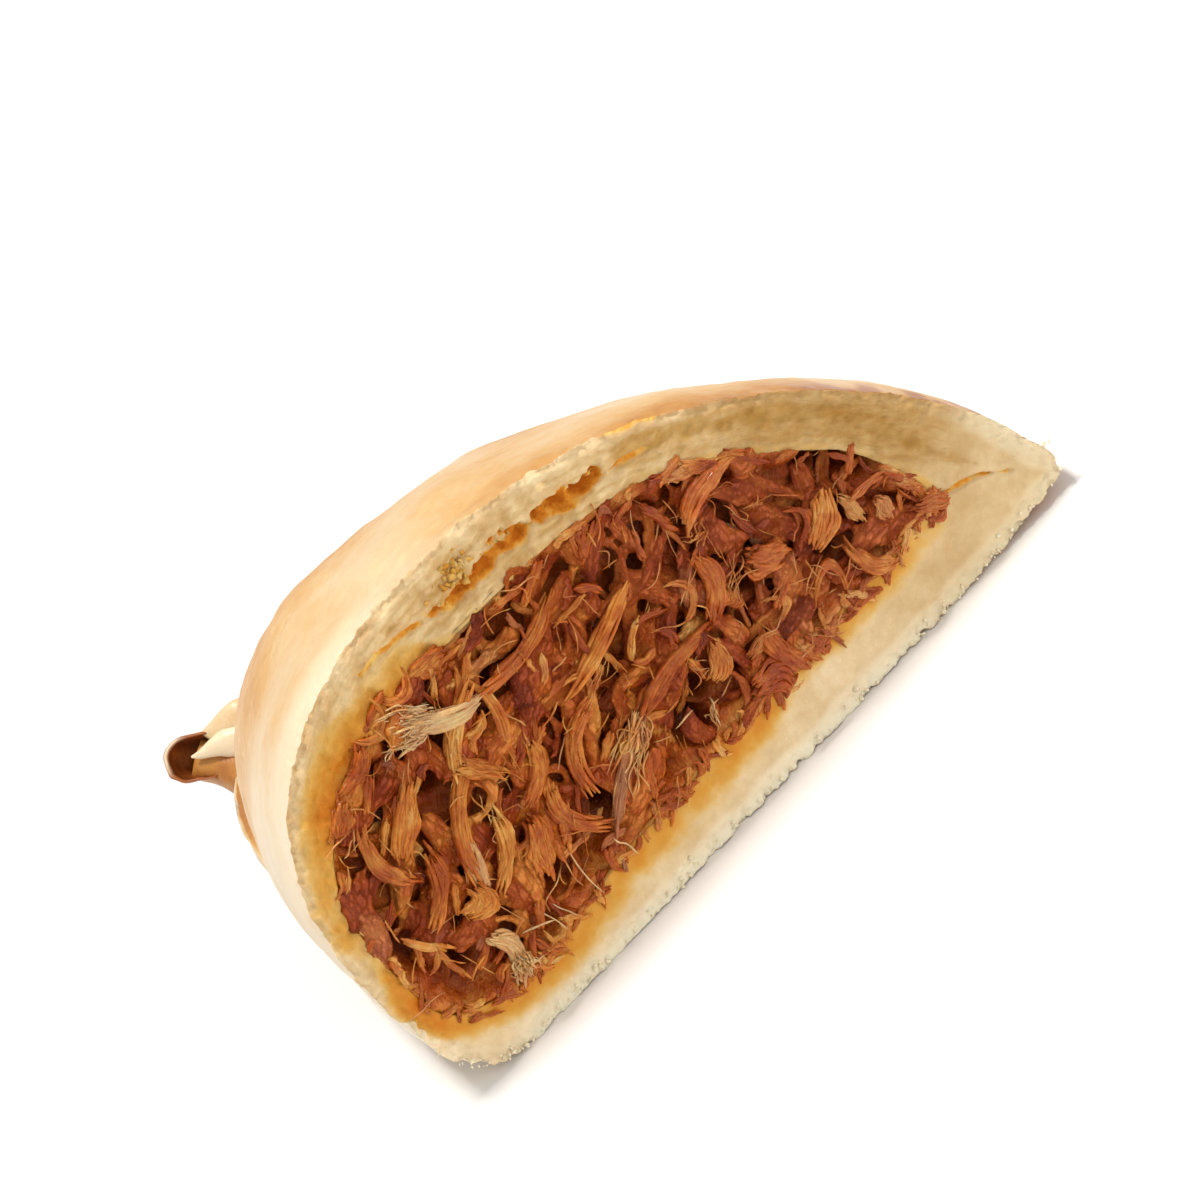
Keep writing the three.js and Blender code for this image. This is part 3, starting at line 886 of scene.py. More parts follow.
def to_outline(spots):
    """Distance from each x, z spot to the meat's outline, below nought outside it."""
    start, end = OUTLINE, np.roll(OUTLINE, -1, axis=0)
    x, z = spots[:, :1], spots[:, 1:]
    crosses = (start[None, :, 1] > z) != (end[None, :, 1] > z)
    rise = np.where(end[:, 1] == start[:, 1], 1e-9, end[:, 1] - start[:, 1])
    meet = start[:, 0] + (z - start[None, :, 1]) * (end[:, 0] - start[:, 0]) / rise
    inner = (crosses & (x < meet)).sum(1) % 2 == 1
    return np.where(inner, 1, -1) * nearest(spots, OUTLINE)


def gap_share(spots):
    """1 in the middle of a deep gap, 0 outside them all."""
    share = np.zeros(len(spots))
    for x, z, radius in GAPS:
        far = np.hypot(spots[:, 0] - x, spots[:, 1] - z)
        share = np.maximum(share, 1 - ease(far, radius * 0.5, radius * 1.3))
    return share


def grain_of(spots):
    """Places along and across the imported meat's fibres, which swing about their main direction."""
    swing = np.radians(GRAIN_HEADING + 34 * wander(spots, 11.0, 43))
    along = spots[:, 0] * np.cos(swing) + spots[:, 1] * np.sin(swing)
    return np.stack([along, spots[:, 1] * np.cos(swing) - spots[:, 0] * np.sin(swing)], axis=-1)


def meat_depth(spots):
    """How far behind the knife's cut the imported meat's face lies: level with the dough at its edge."""
    edge = to_outline(spots)
    fibres = rough(grain_of(spots) * (0.3, 1.4), 1, 42, 2)
    packed = MEAT_BACK + 0.9 * rough(spots, 3.4, 41, 3) + 0.45 * fibres
    fallen = ease(edge + 1.1 * rough(spots, 2.2, 46, 2), 0.2, 3.4)
    lapped = mix(1.3, 0.3 + 0.35 * rough(spots, 1.3, 44, 3), ease(edge, -0.8, 0.1))
    depth = mix(lapped, packed, fallen)
    return np.maximum(mix(depth, GAP_BACK, gap_share(spots)), 0.1)


def build_core():
    """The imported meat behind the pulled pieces: the hollow's own shape, its cut lumpy and fibrous."""
    angles = np.radians(np.linspace(0, 180, 40))
    grid = np.array([placed(a, both_profiles(a, 70, 110)[1]) for a in angles])
    grid = CORE_MIDDLE + (grid - CORE_MIDDLE) * CORE_SWELL
    last = grid.shape[1] - 1
    loop = loop_of(grid)
    centre = CORE_MIDDLE * (1, 0, 1)
    face = mix(loop[None], centre, np.linspace(0, 1, CORE_RINGS + 1)[:-1, None, None])
    spots = face.reshape(-1, 3)
    spots[:, 1] = meat_depth(spots[:, [0, 2]])
    ids = np.arange(len(spots)).reshape(CORE_RINGS, len(loop))
    sheet, total = half_turn_ids(ids[0], len(grid), last, len(spots))
    corners = np.concatenate([spots, grid[1:-1, 1:-1].reshape(-1, 3), centre[None] + [0, MEAT_BACK, 0]])
    corners[:, 1] = np.maximum(corners[:, 1], 0.1)
    looped = np.concatenate([ids, ids[:, :1]], axis=1)
    closing = [[a, b, total] for a, b in zip(looped[-1, :-1], looped[-1, 1:])]
    faces = grid_faces(looped) + closing + [f[::-1] for f in grid_faces(sheet)]
    flat = corners[:, [0, 2]]
    at_edge = 1 - ease(to_outline(flat), 0, 2)
    marks = {
        "grain": np.column_stack([grain_of(flat), corners[:, 1]]) / 1000,
        "tint": 0.5 + 0.1 * wander(corners, 5.0, 45) + 0.26 * at_edge,
        "rosy": 0.6 * ease(corners[:, 0], 44, 64),
        "pale": np.zeros(len(corners)),
    }
    return make_mesh("meat_core", to_part(corners), faces, MEAT, marks)


core = build_core()
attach(core, "root")
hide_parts("filling")


def pulled_kind(name, dice, length, width, flat, bend, fray, fibre=0.6, steps=10, sides=5, wave=0.0):
    """A pulled piece along x: soft fibres side by side that wander, and part at the piece's ends."""
    count = max(1, round(width / (0.55 * fibre)))
    layers = 2 if count > 5 else 1
    share = np.linspace(0, 1, steps)[:, None]
    ends = np.abs(2 * share - 1)
    ring = np.arange(sides)[None] * 2 * np.pi / sides

    def wavy(least, most):
        return np.sin(share * dice.uniform(least, most) + dice.uniform(0, 6.28))

    drift = (0.12 * width + wave) * wavy(2, 6)
    arch = dice.normal(0, 0.012)
    swell = 1 + 0.12 * wavy(3, 9)
    bend = bend if abs(bend) > 0.001 else 0.001
    corners, faces, grains, total = [], [], [], 0
    for layer in range(layers):
        for number in range(count):
            side = ((number + 0.5) / count * 2 - 1) if count > 1 else 0.0
            outer = abs(side)
            loose = fray * outer ** 3 * dice.normal(0, 1) * width
            middle = side * (width - fibre) / 2 * swell * (1 - 0.25 * ends ** 2)
            middle = middle + 0.22 * fibre * wavy(4, 11)
            middle = middle + drift + loose * ends ** 3
            middle = middle + fray * 0.7 * width * dice.normal(0, 1) * ends ** 4
            thick = (flat * width - fibre) / 2 * math.sqrt(max(0.05, 1 - side ** 2))
            high = (1 - 2 * layer) * (layers > 1) * thick + 0.13 * fibre * wavy(4, 12)
            high = high + fray * 0.5 * width * dice.normal(0, 1) * ends ** 4
            own_length = length * (1 + 0.13 * dice.normal(0, 1) - 0.2 * outer ** 2)
            along = (share - 0.5) * own_length + dice.normal(0, 0.05) * length
            radius = fibre / 2 * dice.uniform(0.9, 1.4) * (1 - 0.7 * ends ** 6)
            radius = radius * (1 + 0.16 * wavy(6, 20))
            across_all = middle + radius * np.cos(ring)
            high_all = high + arch * along ** 2 + radius * np.sin(ring)
            along_all = along + 0 * ring
            hub = 1 / bend
            curved = [(hub - across_all) * np.sin(bend * along_all),
                      hub - (hub - across_all) * np.cos(bend * along_all)]
            spots, shell = closed_tube(np.stack([*curved, high_all], axis=-1))
            own = np.stack([along_all, across_all + 2.3 * number, high_all + 3.1 * layer], axis=-1)
            grains.append(np.concatenate([own.reshape(-1, 3), own[[0, -1]].mean(axis=1)]))
            corners.append(spots)
            faces += [[total + corner for corner in face] for face in shell]
            total += len(spots)
    corners = np.concatenate(corners)
    corners -= (corners.max(axis=0) + corners.min(axis=0)) / 2
    grain = (np.concatenate(grains) + dice.uniform(0, 400)) / 1000
    return make_mesh(name, corners / 1000, faces, MEAT, {"grain": grain})


def scatter_nodes(name, kinds, finish):
    """Geometry Nodes: one of the kinds on each spot, turned and sized by the spot's own values."""
    tree = bpy.data.node_groups.new(name, "GeometryNodeTree")
    face = tree.interface
    face.new_socket("Spots", in_out="INPUT", socket_type="NodeSocketGeometry")
    kind_in = face.new_socket("Kinds", in_out="INPUT", socket_type="NodeSocketCollection")
    size_in = face.new_socket("Size", in_out="INPUT", socket_type="NodeSocketFloat")
    finish_in = face.new_socket("Finish", in_out="INPUT", socket_type="NodeSocketMaterial")
    face.new_socket("Pieces", in_out="OUTPUT", socket_type="NodeSocketGeometry")
    new, link = tree.nodes.new, tree.links.new
    start, end = new("NodeGroupInput"), new("NodeGroupOutput")
    spots = new("GeometryNodeMeshToPoints")
    link(start.outputs["Spots"], spots.inputs["Mesh"])
    shapes = new("GeometryNodeCollectionInfo")
    shapes.inputs["Separate Children"].default_value = True
    shapes.inputs["Reset Children"].default_value = True
    link(start.outputs["Kinds"], shapes.inputs["Collection"])
    put = new("GeometryNodeInstanceOnPoints")
    put.inputs["Pick Instance"].default_value = True
    link(spots.outputs["Points"], put.inputs["Points"])
    link(shapes.outputs[0], put.inputs["Instance"])

    def read(mark, kind):
        node = new("GeometryNodeInputNamedAttribute")
        node.data_type = kind
        node.inputs["Name"].default_value = mark
        return node.outputs["Attribute"]

    link(read("kind", "INT"), put.inputs["Instance Index"])
    turn = new("FunctionNodeEulerToRotation")
    link(read("turn", "FLOAT_VECTOR"), turn.inputs[0])
    link(turn.outputs[0], put.inputs["Rotation"])
    grown = new("ShaderNodeVectorMath")
    grown.operation = "SCALE"
    link(read("size", "FLOAT_VECTOR"), grown.inputs[0])
    link(start.outputs["Size"], grown.inputs["Scale"])
    link(grown.outputs[0], put.inputs["Scale"])
    real = new("GeometryNodeRealizeInstances")
    link(put.outputs["Instances"], real.inputs["Geometry"])
    paint = new("GeometryNodeSetMaterial")
    link(real.outputs["Geometry"], paint.inputs["Geometry"])
    link(start.outputs["Finish"], paint.inputs["Material"])
    link(paint.outputs["Geometry"], end.inputs["Pieces"])
    return tree, {kind_in.identifier: kinds, size_in.identifier: 1.0, finish_in.identifier: finish}


def scatter(name, shapes, rows, finish):
    """Puts shapes on spots, one row of values each, and makes one plain mesh of them."""
    kinds = bpy.data.collections.new(name + "_kinds")
    for shape in shapes:
        bpy.context.scene.collection.objects.unlink(shape)
        kinds.objects.link(shape)
    values = {mark: np.array([row[mark] for row in rows]) for mark in rows[0]}
    mesh = bpy.data.meshes.new(name + "_spots")
    mesh.from_pydata(to_part(values.pop("spot")).tolist(), [], [])
    add_marks(mesh, values)
    base = bpy.data.objects.new(name + "_spots", mesh)
    bpy.context.scene.collection.objects.link(base)
    tree, wanted = scatter_nodes(name + "_nodes", kinds, finish)
    modifier = base.modifiers.new("laid", "NODES")
    modifier.node_group = tree
    for identifier, value in wanted.items():
        modifier[identifier] = value
    bpy.context.view_layer.update()
    made = bpy.data.meshes.new_from_object(base.evaluated_get(bpy.context.evaluated_depsgraph_get()))
    made.name = name
    base.modifiers.clear()
    made.polygons.foreach_set("use_smooth", np.full(len(made.polygons), True))
    for mark in ("kind", "turn", "size"):
        if mark in made.attributes:
            made.attributes.remove(made.attributes[mark])
    piece = bpy.data.objects.new(name, made)
    bpy.context.scene.collection.objects.link(piece)
    for leftover in [base, *shapes]:
        bpy.data.objects.remove(leftover)
    bpy.data.collections.remove(kinds)
    return piece


def melded(heap_piece, step, soften):
    """One soft mass made of a heap's overlapping pieces. Each spot keeps its own piece's values."""
    source = heap_piece.data
    names = ("grain", "tint", "pale", "rosy")
    count = len(source.vertices)
    spots = np.empty(count * 3)
    source.vertices.foreach_get("co", spots)
    spots = spots.reshape(-1, 3)
    values = {}
    for name in names:
        wide = 3 if name == "grain" else 1
        values[name] = np.empty(count * wide)
        source.attributes[name].data.foreach_get("vector" if wide == 3 else "value", values[name])
        values[name] = values[name].reshape(-1, wide)
    faces = [tuple(face.vertices) for face in source.polygons]
    search = BVHTree.FromPolygons(spots.tolist(), faces)
    joined = heap_piece.modifiers.new("joined", "REMESH")
    joined.mode, joined.voxel_size = "VOXEL", step / 1000
    eased = heap_piece.modifiers.new("eased", "SMOOTH")
    eased.factor, eased.iterations = 0.5, soften
    made = bpy.data.meshes.new_from_object(heap_piece.evaluated_get(bpy.context.evaluated_depsgraph_get()))
    made.name = source.name
    places = np.empty(len(made.vertices) * 3)
    made.vertices.foreach_get("co", places)
    places = places.reshape(-1, 3)
    closest = [search.find_nearest(place) for place in places.tolist()]
    owners = np.array([(faces[hit[2]] + faces[hit[2]][:1])[:4] for hit in closest])
    touched = np.array([tuple(hit[0]) for hit in closest])
    far = np.linalg.norm(spots[owners] - touched[:, None], axis=-1) + 1e-6
    weight = far ** -2 / (far ** -2).sum(axis=1, keepdims=True)
    for name in names:
        kept = (values[name][owners] * weight[..., None]).sum(axis=1).squeeze()
        add_marks(made, {name: kept})
    made.materials.clear()
    made.materials.append(MEAT)
    made.polygons.foreach_set("use_smooth", np.full(len(made.polygons), True))
    heap_piece.modifiers.clear()
    heap_piece.data = made
    return heap_piece


def turned_to(heading, tilt, roll):
    """Turns a shape that lies along x to a heading in the cut, in radians up from x."""
    aim = Matrix.Rotation(-heading, 3, "Y") @ Matrix.Rotation(tilt, 3, "Z")
    return (aim @ Matrix.Rotation(roll, 3, "X")).to_euler("XYZ")


class Heap:
    """The pieces laid so far, and how near the knife's cut they come, cell by cell."""

    def __init__(self):
        grid = np.meshgrid(np.arange(0, RIM_X, CELL), np.arange(0, CROWN_Z, CELL), indexing="ij")
        spots = np.stack(grid, axis=-1).reshape(-1, 2)
        self.front = meat_depth(spots).reshape(grid[0].shape)
        self.edge = to_outline(spots).reshape(grid[0].shape)
        self.gap = gap_share(spots).reshape(grid[0].shape)

    def cells(self, x, z):
        """The cell, or cells, at one x and z or at many."""
        across, up = self.front.shape
        return (np.clip(np.rint(x / CELL).astype(int), 0, across - 1),
                np.clip(np.rint(z / CELL).astype(int), 0, up - 1))

    def under(self, x, z, long, wide, heading):
        """The cells that a piece covers, end to end and side to side."""
        along = np.linspace(-0.5, 0.5, 15)[:, None] * long
        across = np.linspace(-0.5, 0.5, 7)[None] * wide
        return self.cells(x + along * math.cos(heading) - across * math.sin(heading),
                          z + along * math.sin(heading) + across * math.cos(heading))

    def fits(self, x, z, long, wide, heading, margin, dice):
        """True if a piece keeps inside the meat's outline and, mostly, out of the deep gaps."""
        covered = self.under(x, z, long, wide * 0.6, heading)
        if self.edge[covered].min() < margin:
            return False
        return self.gap[covered].max() < 0.4 or dice.uniform() < 0.12

    def settle(self, x, z, long, wide, thick, heading):
        """Rests a piece on what lies under it, and returns how far behind the cut its middle is."""
        covered = self.under(x, z, long, wide, heading)
        middle = float(np.percentile(self.front[covered], 40)) - 0.3 * thick
        bulge = np.cos(np.linspace(-1.3, 1.3, 7))[None] * np.ones((15, 1))
        self.front[covered] = np.minimum(self.front[covered], middle - 0.42 * thick * bulge)
        return middle


def row_for(spot, turn, size, kind, tint, pale=0.0, rosy=0.0):
    """One laid piece's values, as scatter reads them."""
    return {"spot": spot, "turn": tuple(turn), "size": size, "kind": kind,
            "tint": float(np.clip(tint, 0, 1)), "pale": float(max(0, pale)), "rosy": float(max(0, rosy))}


# The pieces that catch the eye, as x, z, length, width, heading in degrees and tint.
STRAPS = [
    (29.0, 32.3, 14.2, 2.1, 80, 0.70), (14.8, 29.9, 12.2, 2.1, 44, 0.72), (24.2, 27.8, 8.5, 1.7, 121, 0.72),
    (19.4, 24.9, 8.6, 3.1, 52, 0.58), (28.2, 23.0, 7.1, 2.6, 48, 0.62), (22.8, 16.4, 9.0, 2.6, 64, 0.56),
    (25.1, 32.9, 6.1, 3.2, 45, 0.82), (33.5, 21.0, 6.5, 3.4, 51, 0.64), (35.4, 15.4, 7.7, 2.0, 44, 0.66),
    (42.2, 28.2, 7.9, 3.2, 18, 0.70), (36.1, 34.5, 7.9, 2.9, 8, 0.52), (14.5, 17.1, 5.0, 2.6, 34, 0.72),
    (12.4, 22.0, 5.4, 3.2, 54, 0.60), (20.2, 19.4, 5.4, 3.0, 54, 0.82), (28.2, 16.5, 5.5, 3.4, 99, 0.60),
    (50.7, 16.1, 6.9, 1.7, 48, 0.76), (45.7, 19.6, 8.0, 3.0, 7, 0.48), (37.8, 26.1, 5.6, 1.7, 89, 0.76),
    (10.2, 28.5, 5.3, 3.2, 90, 0.60), (69.0, 19.0, 8.7, 2.2, 38, 0.74), (61.8, 31.9, 5.3, 3.6, 15, 0.68),
    (55.3, 23.4, 7.9, 2.7, 68, 0.58), (52.2, 24.6, 7.1, 1.7, 73, 0.62), (67.0, 20.8, 6.0, 2.7, 65, 0.44),
    (72.0, 17.3, 5.0, 1.2, 94, 0.82), (74.5, 14.9, 3.6, 1.5, 87, 0.84), (70.1, 11.4, 4.1, 3.2, 118, 0.68),
    (53.6, 10.6, 6.8, 2.8, 138, 0.46), (56.3, 11.4, 6.9, 2.7, 95, 0.50), (55.2, 14.1, 6.2, 1.2, 167, 0.70),
    (65.0, 13.4, 5.5, 2.7, 140, 0.56), (61.6, 20.7, 6.5, 2.7, 136, 0.58), (59.0, 15.7, 3.9, 2.0, 74, 0.70),
    (56.3, 19.9, 3.0, 1.7, 22, 0.66), (79.0, 11.2, 5.6, 1.5, 151, 0.60), (10.2, 35.4, 5.6, 1.8, 44, 0.60),
    (14.6, 38.2, 6.0, 2.2, 30, 0.52), (19.2, 40.6, 6.6, 2.4, 16, 0.62), (23.6, 41.6, 5.6, 2.2, 2, 0.56),
    (27.6, 41.4, 4.6, 1.6, -6, 0.64), (21.5, 38.8, 5.4, 2.4, 24, 0.66),
]


# Each sort of pulled piece: how many kinds, then length, width, flatness, bend, fray and fibre size.
SORTS = {
    "strap": (18, 10.0, 2.4, 0.55, 0.06, 0.04, 0.62),
    "clump": (10, 6.5, 3.6, 0.45, 0.10, 0.06, 0.62),
    "curl": (6, 9.0, 1.5, 0.8, 0.28, 0.05, 0.62),
    "tatter": (12, 3.6, 1.0, 0.8, 0.2, 0.16, 0.5),
}


def sort_shapes(dice, fibre_share, steps):
    """All kinds of pulled piece, and the number of each sort's first one."""
    shapes, first = [], {}
    for sort, (count, length, width, flat, bend, fray, fibre) in SORTS.items():
        first[sort] = len(shapes)
        for number in range(count):
            turn = bend * dice.uniform(0.8, 1.2) if sort == "curl" else dice.normal(0, bend)
            shapes.append(pulled_kind(f"{sort}_{number:02}", dice, length, width, flat, turn, fray,
                                      fibre * fibre_share, 8 if sort == "tatter" else steps))
    return shapes, first


def pulled_row(dice, heap, first, sort, x, z, long, wide, heading, tint, least, most):
    """One pulled piece resting on those laid before it, its middle kept between two depths."""
    count, length, width, flat = SORTS[sort][:4]
    middle = np.clip(heap.settle(x, z, long, wide, wide * flat, heading), least, most)
    size = (long / length, wide / width, wide / width)
    turn = turned_to(heading, dice.normal(0, 0.07), math.pi / 2 + dice.normal(0, 0.22))
    rosy = 0.8 * ease(x, ROSY_FROM_X, ROSY_AT_X) * dice.uniform(0.4, 1.2)
    kind = first[sort] + int(dice.integers(count))
    return row_for((x, middle, z), turn, size, kind, tint, dice.normal(-0.22, 0.16), rosy)


def lay_under(heap):
    """The lower pieces, pressed into one soft mass: straps by the fold, clumps towards the rim."""
    dice = np.random.default_rng(5)
    shapes, first = sort_shapes(dice, 1.5, 9)
    rows = []
    for _ in range(UNDER_TRIES):
        if len(rows) >= UNDER_PIECES:
            break
        x, z = dice.uniform(1.5, 82), dice.uniform(5, 41)
        combed = x < COMBED_TO_X + dice.normal(0, 5)
        shares = [0.88, 0.07, 0.05] if combed else [0.58, 0.30, 0.12]
        sort = dice.choice(["strap", "clump", "curl"], p=shares)
        long = dice.uniform(6, 13) if sort == "strap" else dice.uniform(4.5, 8)
        widths = [dice.uniform(1.3, 2.7), dice.uniform(2.4, 3.8), dice.uniform(1.0, 1.6)]
        wide = dict(zip(("strap", "clump", "curl"), widths))[sort]
        if not combed:
            long, wide = long * 0.8, wide * 0.85
        heading = math.radians(dice.normal(COMBED_HEADING, 27) if combed else dice.uniform(0, 180))
        if not heap.fits(x, z, long, wide, heading, -0.8, dice):
            continue
        near = 1 - ease(heap.edge[heap.cells(x, z)], 1.0, 3.0)
        if heap.front[heap.cells(x, z)] < 0.9 - 0.9 * near:
            continue
        tint = dice.normal(0.48, 0.15)
        rows.append(pulled_row(dice, heap, first, sort, x, z, long, wide, heading, tint, 0.7 - 0.4 * near, 9))
    return melded(scatter("meat_packed", shapes, rows, MEAT), 0.36, 2)


def lay_shreds(heap):
    """The pieces on top, whose own fibres show: torn bits, then the edge's, then the listed ones."""
    dice = np.random.default_rng(6)
    shapes, first = sort_shapes(dice, 0.9, 10)
    rows = []

    def lay(*piece):
        rows.append(pulled_row(dice, heap, first, *piece))

    while len(rows) < TORN_BITS:
        x, z = dice.uniform(1, 84), dice.uniform(5, 42)
        cell = heap.cells(x, z)
        if heap.edge[cell] < -0.3 or heap.gap[cell] > 0.4:
            continue
        long, wide = dice.uniform(2, 5.5), dice.uniform(0.6, 1.3)
        heading = math.radians(dice.normal(COMBED_HEADING, 32 if x < COMBED_TO_X else 70))
        lay("tatter", x, z, long, wide, heading, dice.normal(0.55, 0.17), 0.0, 9)
    # Torn bits lie over the meat's edge, most of them over the soaked base.
    starts, runs = OUTLINE[:-1], np.diff(OUTLINE, axis=0)
    under_lid = ease(starts[:, 1], 10, 16)
    lap = along_edge(starts, 4)
    share = np.linalg.norm(runs, axis=1) * mix(1.0, 0.5, under_lid) * (1 + 0.5 * np.maximum(0, lap))
    for place in dice.choice(len(starts), EDGE_TATTERS, p=share / share.sum()):
        lid = under_lid[place]
        outward = starts[place] - CUT_MIDDLE
        outward = outward / np.linalg.norm(outward) * (lap[place] * dice.uniform(0.3, 1) - 0.5 * lid)
        x, z = starts[place] + outward + dice.normal(0, 0.5 - 0.2 * lid, 2)
        heading = math.atan2(runs[place, 1], runs[place, 0]) + dice.normal(0, 0.8 - 0.5 * lid)
        long, wide = dice.uniform(1.6, 4.2), dice.uniform(0.5, 1.2)
        lay("tatter", x, z, long, wide, heading, dice.normal(0.6, 0.15), 0.1, 0.45)
    for x, z, long, wide, heading, tint in STRAPS:
        lay("clump" if wide > 2.8 else "strap", x, z, long, wide, math.radians(heading), tint, -0.1, 1.3)
    for x, z, long, wide, heading, tint, pale in PALE_PIECES:
        lay("clump", x, z, long, wide, math.radians(heading), tint, -0.2, 1.0)
        rows[-1]["pale"] = pale
    return scatter("meat_shreds", shapes, rows, MEAT)


# Pieces with tendon in them, as x, z, length, width, heading in degrees, tint and how pale.
PALE_PIECES = [(24.4, 36.4, 6.4, 3.8, 152, 0.8, 0.6), (13.0, 10.0, 4.6, 3.6, 84, 0.75, 0.5),
               (35.5, 15.4, 8.5, 2.6, 36, 0.45, 0.22), (16.8, 20.6, 4.0, 3.0, 70, 0.7, 0.4)]
# Tendon torn into threads: the root's x and z, length, fan's width, heading, threads and how pale.
TUFTS = [
    (23.2, 36.9, 6.0, 3.6, 152, 110, 0.9), (13.2, 8.6, 2.6, 2.6, 262, 50, 0.8),
    (38.9, 17.8, 8.4, 2.6, 216, 50, 0.35), (46.6, 12.6, 3.4, 1.4, 215, 8, 0.5),
    (57.0, 29.0, 3.0, 1.6, 10, 6, 0.1), (56.9, 21.5, 5.0, 1.6, 20, 8, 0.1),
]
# Loose pale threads that catch the light: x, z, length and heading.
THREADS = [
    (24.6, 10.4, 6.4, 84), (18.6, 9.7, 4.0, 96), (17.0, 10.1, 3.6, 160), (29.7, 9.3, 3.6, 100),
    (46.6, 12.0, 3.0, 72), (43.5, 14.5, 3.1, 2), (20.3, 9.0, 3.4, 120),
]
THREAD_LENGTH = 5.0


def lay_fibres(heap):
    """Loose threads over the heap, and tendon torn into tufts that fan out from a root."""
    dice = np.random.default_rng(11)
    shapes = []
    for number in range(THREAD_KINDS):
        bend = dice.normal(0, 0.12)
        shapes.append(pulled_kind(f"thread_{number:02}", dice, THREAD_LENGTH, width=0.1, flat=1, bend=bend,
                                  fray=1, fibre=0.17, steps=10, sides=4, wave=0.45))
    rows = []

    def add(x, z, lift, heading, size, tint, pale):
        depth = max(float(heap.front[heap.cells(x, z)]) - lift, -0.6)
        turn = turned_to(heading, dice.normal(0, 0.12), dice.uniform(0, 6.28))
        kind = int(dice.integers(THREAD_KINDS))
        rosy = 0.6 * ease(x, ROSY_FROM_X, ROSY_AT_X)
        rows.append(row_for((x, depth, z), turn, size, kind, tint, pale, rosy))

    while len(rows) < LOOSE_THREADS:
        x, z = dice.uniform(1, 84), dice.uniform(5, 42)
        if heap.edge[heap.cells(x, z)] > -0.25:
            size = (dice.uniform(0.3, 0.9), *dice.uniform(0.6, 1.1, 2))
            lift, heading = dice.uniform(-0.1, 0.25), math.radians(dice.normal(COMBED_HEADING, 50))
            add(x, z, lift, heading, size, 0.7, dice.uniform(-0.2, 0.3))
    for x, z, long, lean in THREADS:
        add(x, z, 0.5, math.radians(lean), (long / THREAD_LENGTH, 1.1, 1.1), 0.8, 0.8)
    for x, z, long, wide, lean, count, white in TUFTS:
        ahead = np.array([math.cos(math.radians(lean)), math.sin(math.radians(lean))])
        for _ in range(count):
            place = dice.uniform(-1, 1)
            heading = math.radians(lean + 14 * place + dice.normal(0, 8))
            own = long * dice.uniform(0.3, 0.75)
            across, far = wide / 2 * place, own / 2 + long * dice.uniform(-0.3, 0.2)
            mid_x = x + far * math.cos(heading) - across * ahead[1]
            mid_z = z + far * math.sin(heading) + across * ahead[0]
            size = (own / THREAD_LENGTH, *dice.uniform(0.8, 1.5, 2))
            add(mid_x, mid_z, dice.uniform(-0.1, 0.5), heading, size, 0.8, white * dice.uniform(0.4, 1.1))
    return scatter("meat_fibres", shapes, rows, MEAT)


heap = Heap()
for pulled in (lay_under(heap), lay_shreds(heap), lay_fibres(heap)):
    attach(pulled, "root")

# ---- Crumbs and the pinched ear --------------------------------------------------------------


def crumb_kind(name, dice):
    """One crumb: a small lumpy ball of a few dozen faces."""
    work = bmesh.new()
    bmesh.ops.create_icosphere(work, subdivisions=1, radius=0.5)
    squash = dice.uniform(0.5, 1.2, 3)
    spots = np.array([corner.co for corner in work.verts]) * squash
    spots *= 1 + 0.38 * np.clip(dice.standard_normal((len(spots), 1)), -1.6, 1.6)
    faces = [[corner.index for corner in face.verts] for face in work.faces]
    work.free()
    return make_mesh(name, spots / 1000, faces, CRUMB)


def lay_crumbs():
    """Flakes that cling to the torn edge of the base, and the crumbly end of the lid's splits."""
    dice = np.random.default_rng(23)
    shapes = [crumb_kind(f"crumb_{number}", dice) for number in range(CRUMB_KINDS)]
    outlines = [placed(angle, both_profiles(angle, 200, 60)[0]) for angle in (0.0, math.pi)]
    edge = np.concatenate(outlines)[:, [0, 2]]
    edge = edge[edge[:, 1] < 7]
    rows = []

    def add(x, depth, z, size, white, soak):
        flat = (size, size * dice.uniform(0.6, 1), size * dice.uniform(0.5, 1))
        rows.append({
            "spot": (x, depth, max(z, size * 0.75)),
            "turn": tuple(dice.uniform(0, 6.28, 3)),
            "size": flat,
            "kind": int(dice.integers(CRUMB_KINDS)),
            "torn_edge": white,
            "soak": soak,
            "lid": 1.0 if z > 20 else 0.0,
        })

    for _ in range(BASE_CRUMBS):
        x, z = edge[int(dice.integers(len(edge)))]
        inward = 0.3 + abs(dice.normal(0, 0.5))
        x, depth = x + dice.normal(0, 0.3), dice.uniform(-0.1, 0.6)
        add(x, depth, z + inward, 0.25 + 0.6 * dice.uniform() ** 2, 0.9, 0.0)
    for _ in range(SPLIT_CRUMBS):
        x, z = dice.normal(36.3, 1.5), dice.normal(46.0, 0.7)
        add(x, dice.uniform(0.25, 0.8), z, dice.uniform(0.4, 1.3), 0.0, dice.uniform(0.25, 0.75))
    return scatter("dough_crumbs", shapes, rows, CRUMB)


crumbs = lay_crumbs()
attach(crumbs, "root")

# The ear faces outwards and up from the fold's far end; its lip is drawn across and along that.
EAR_MIDDLE = np.array([6.7, 65.0, 20.7])
EAR_FACE = np.array([-0.092, -0.870, 0.485])
EAR_ACROSS = np.array([0.691, -0.406, -0.598])
EAR_LIP = [
    (2.9, 1.9), (1.4, 2.5), (-0.4, 2.4), (-2.5, 1.8), (-3.7, 0.2), (-3.3, -1.9), (-1.8, -2.7),
    (0.2, -2.6), (1.8, -2.3), (2.8, -0.9), (3.2, 0.7),
]
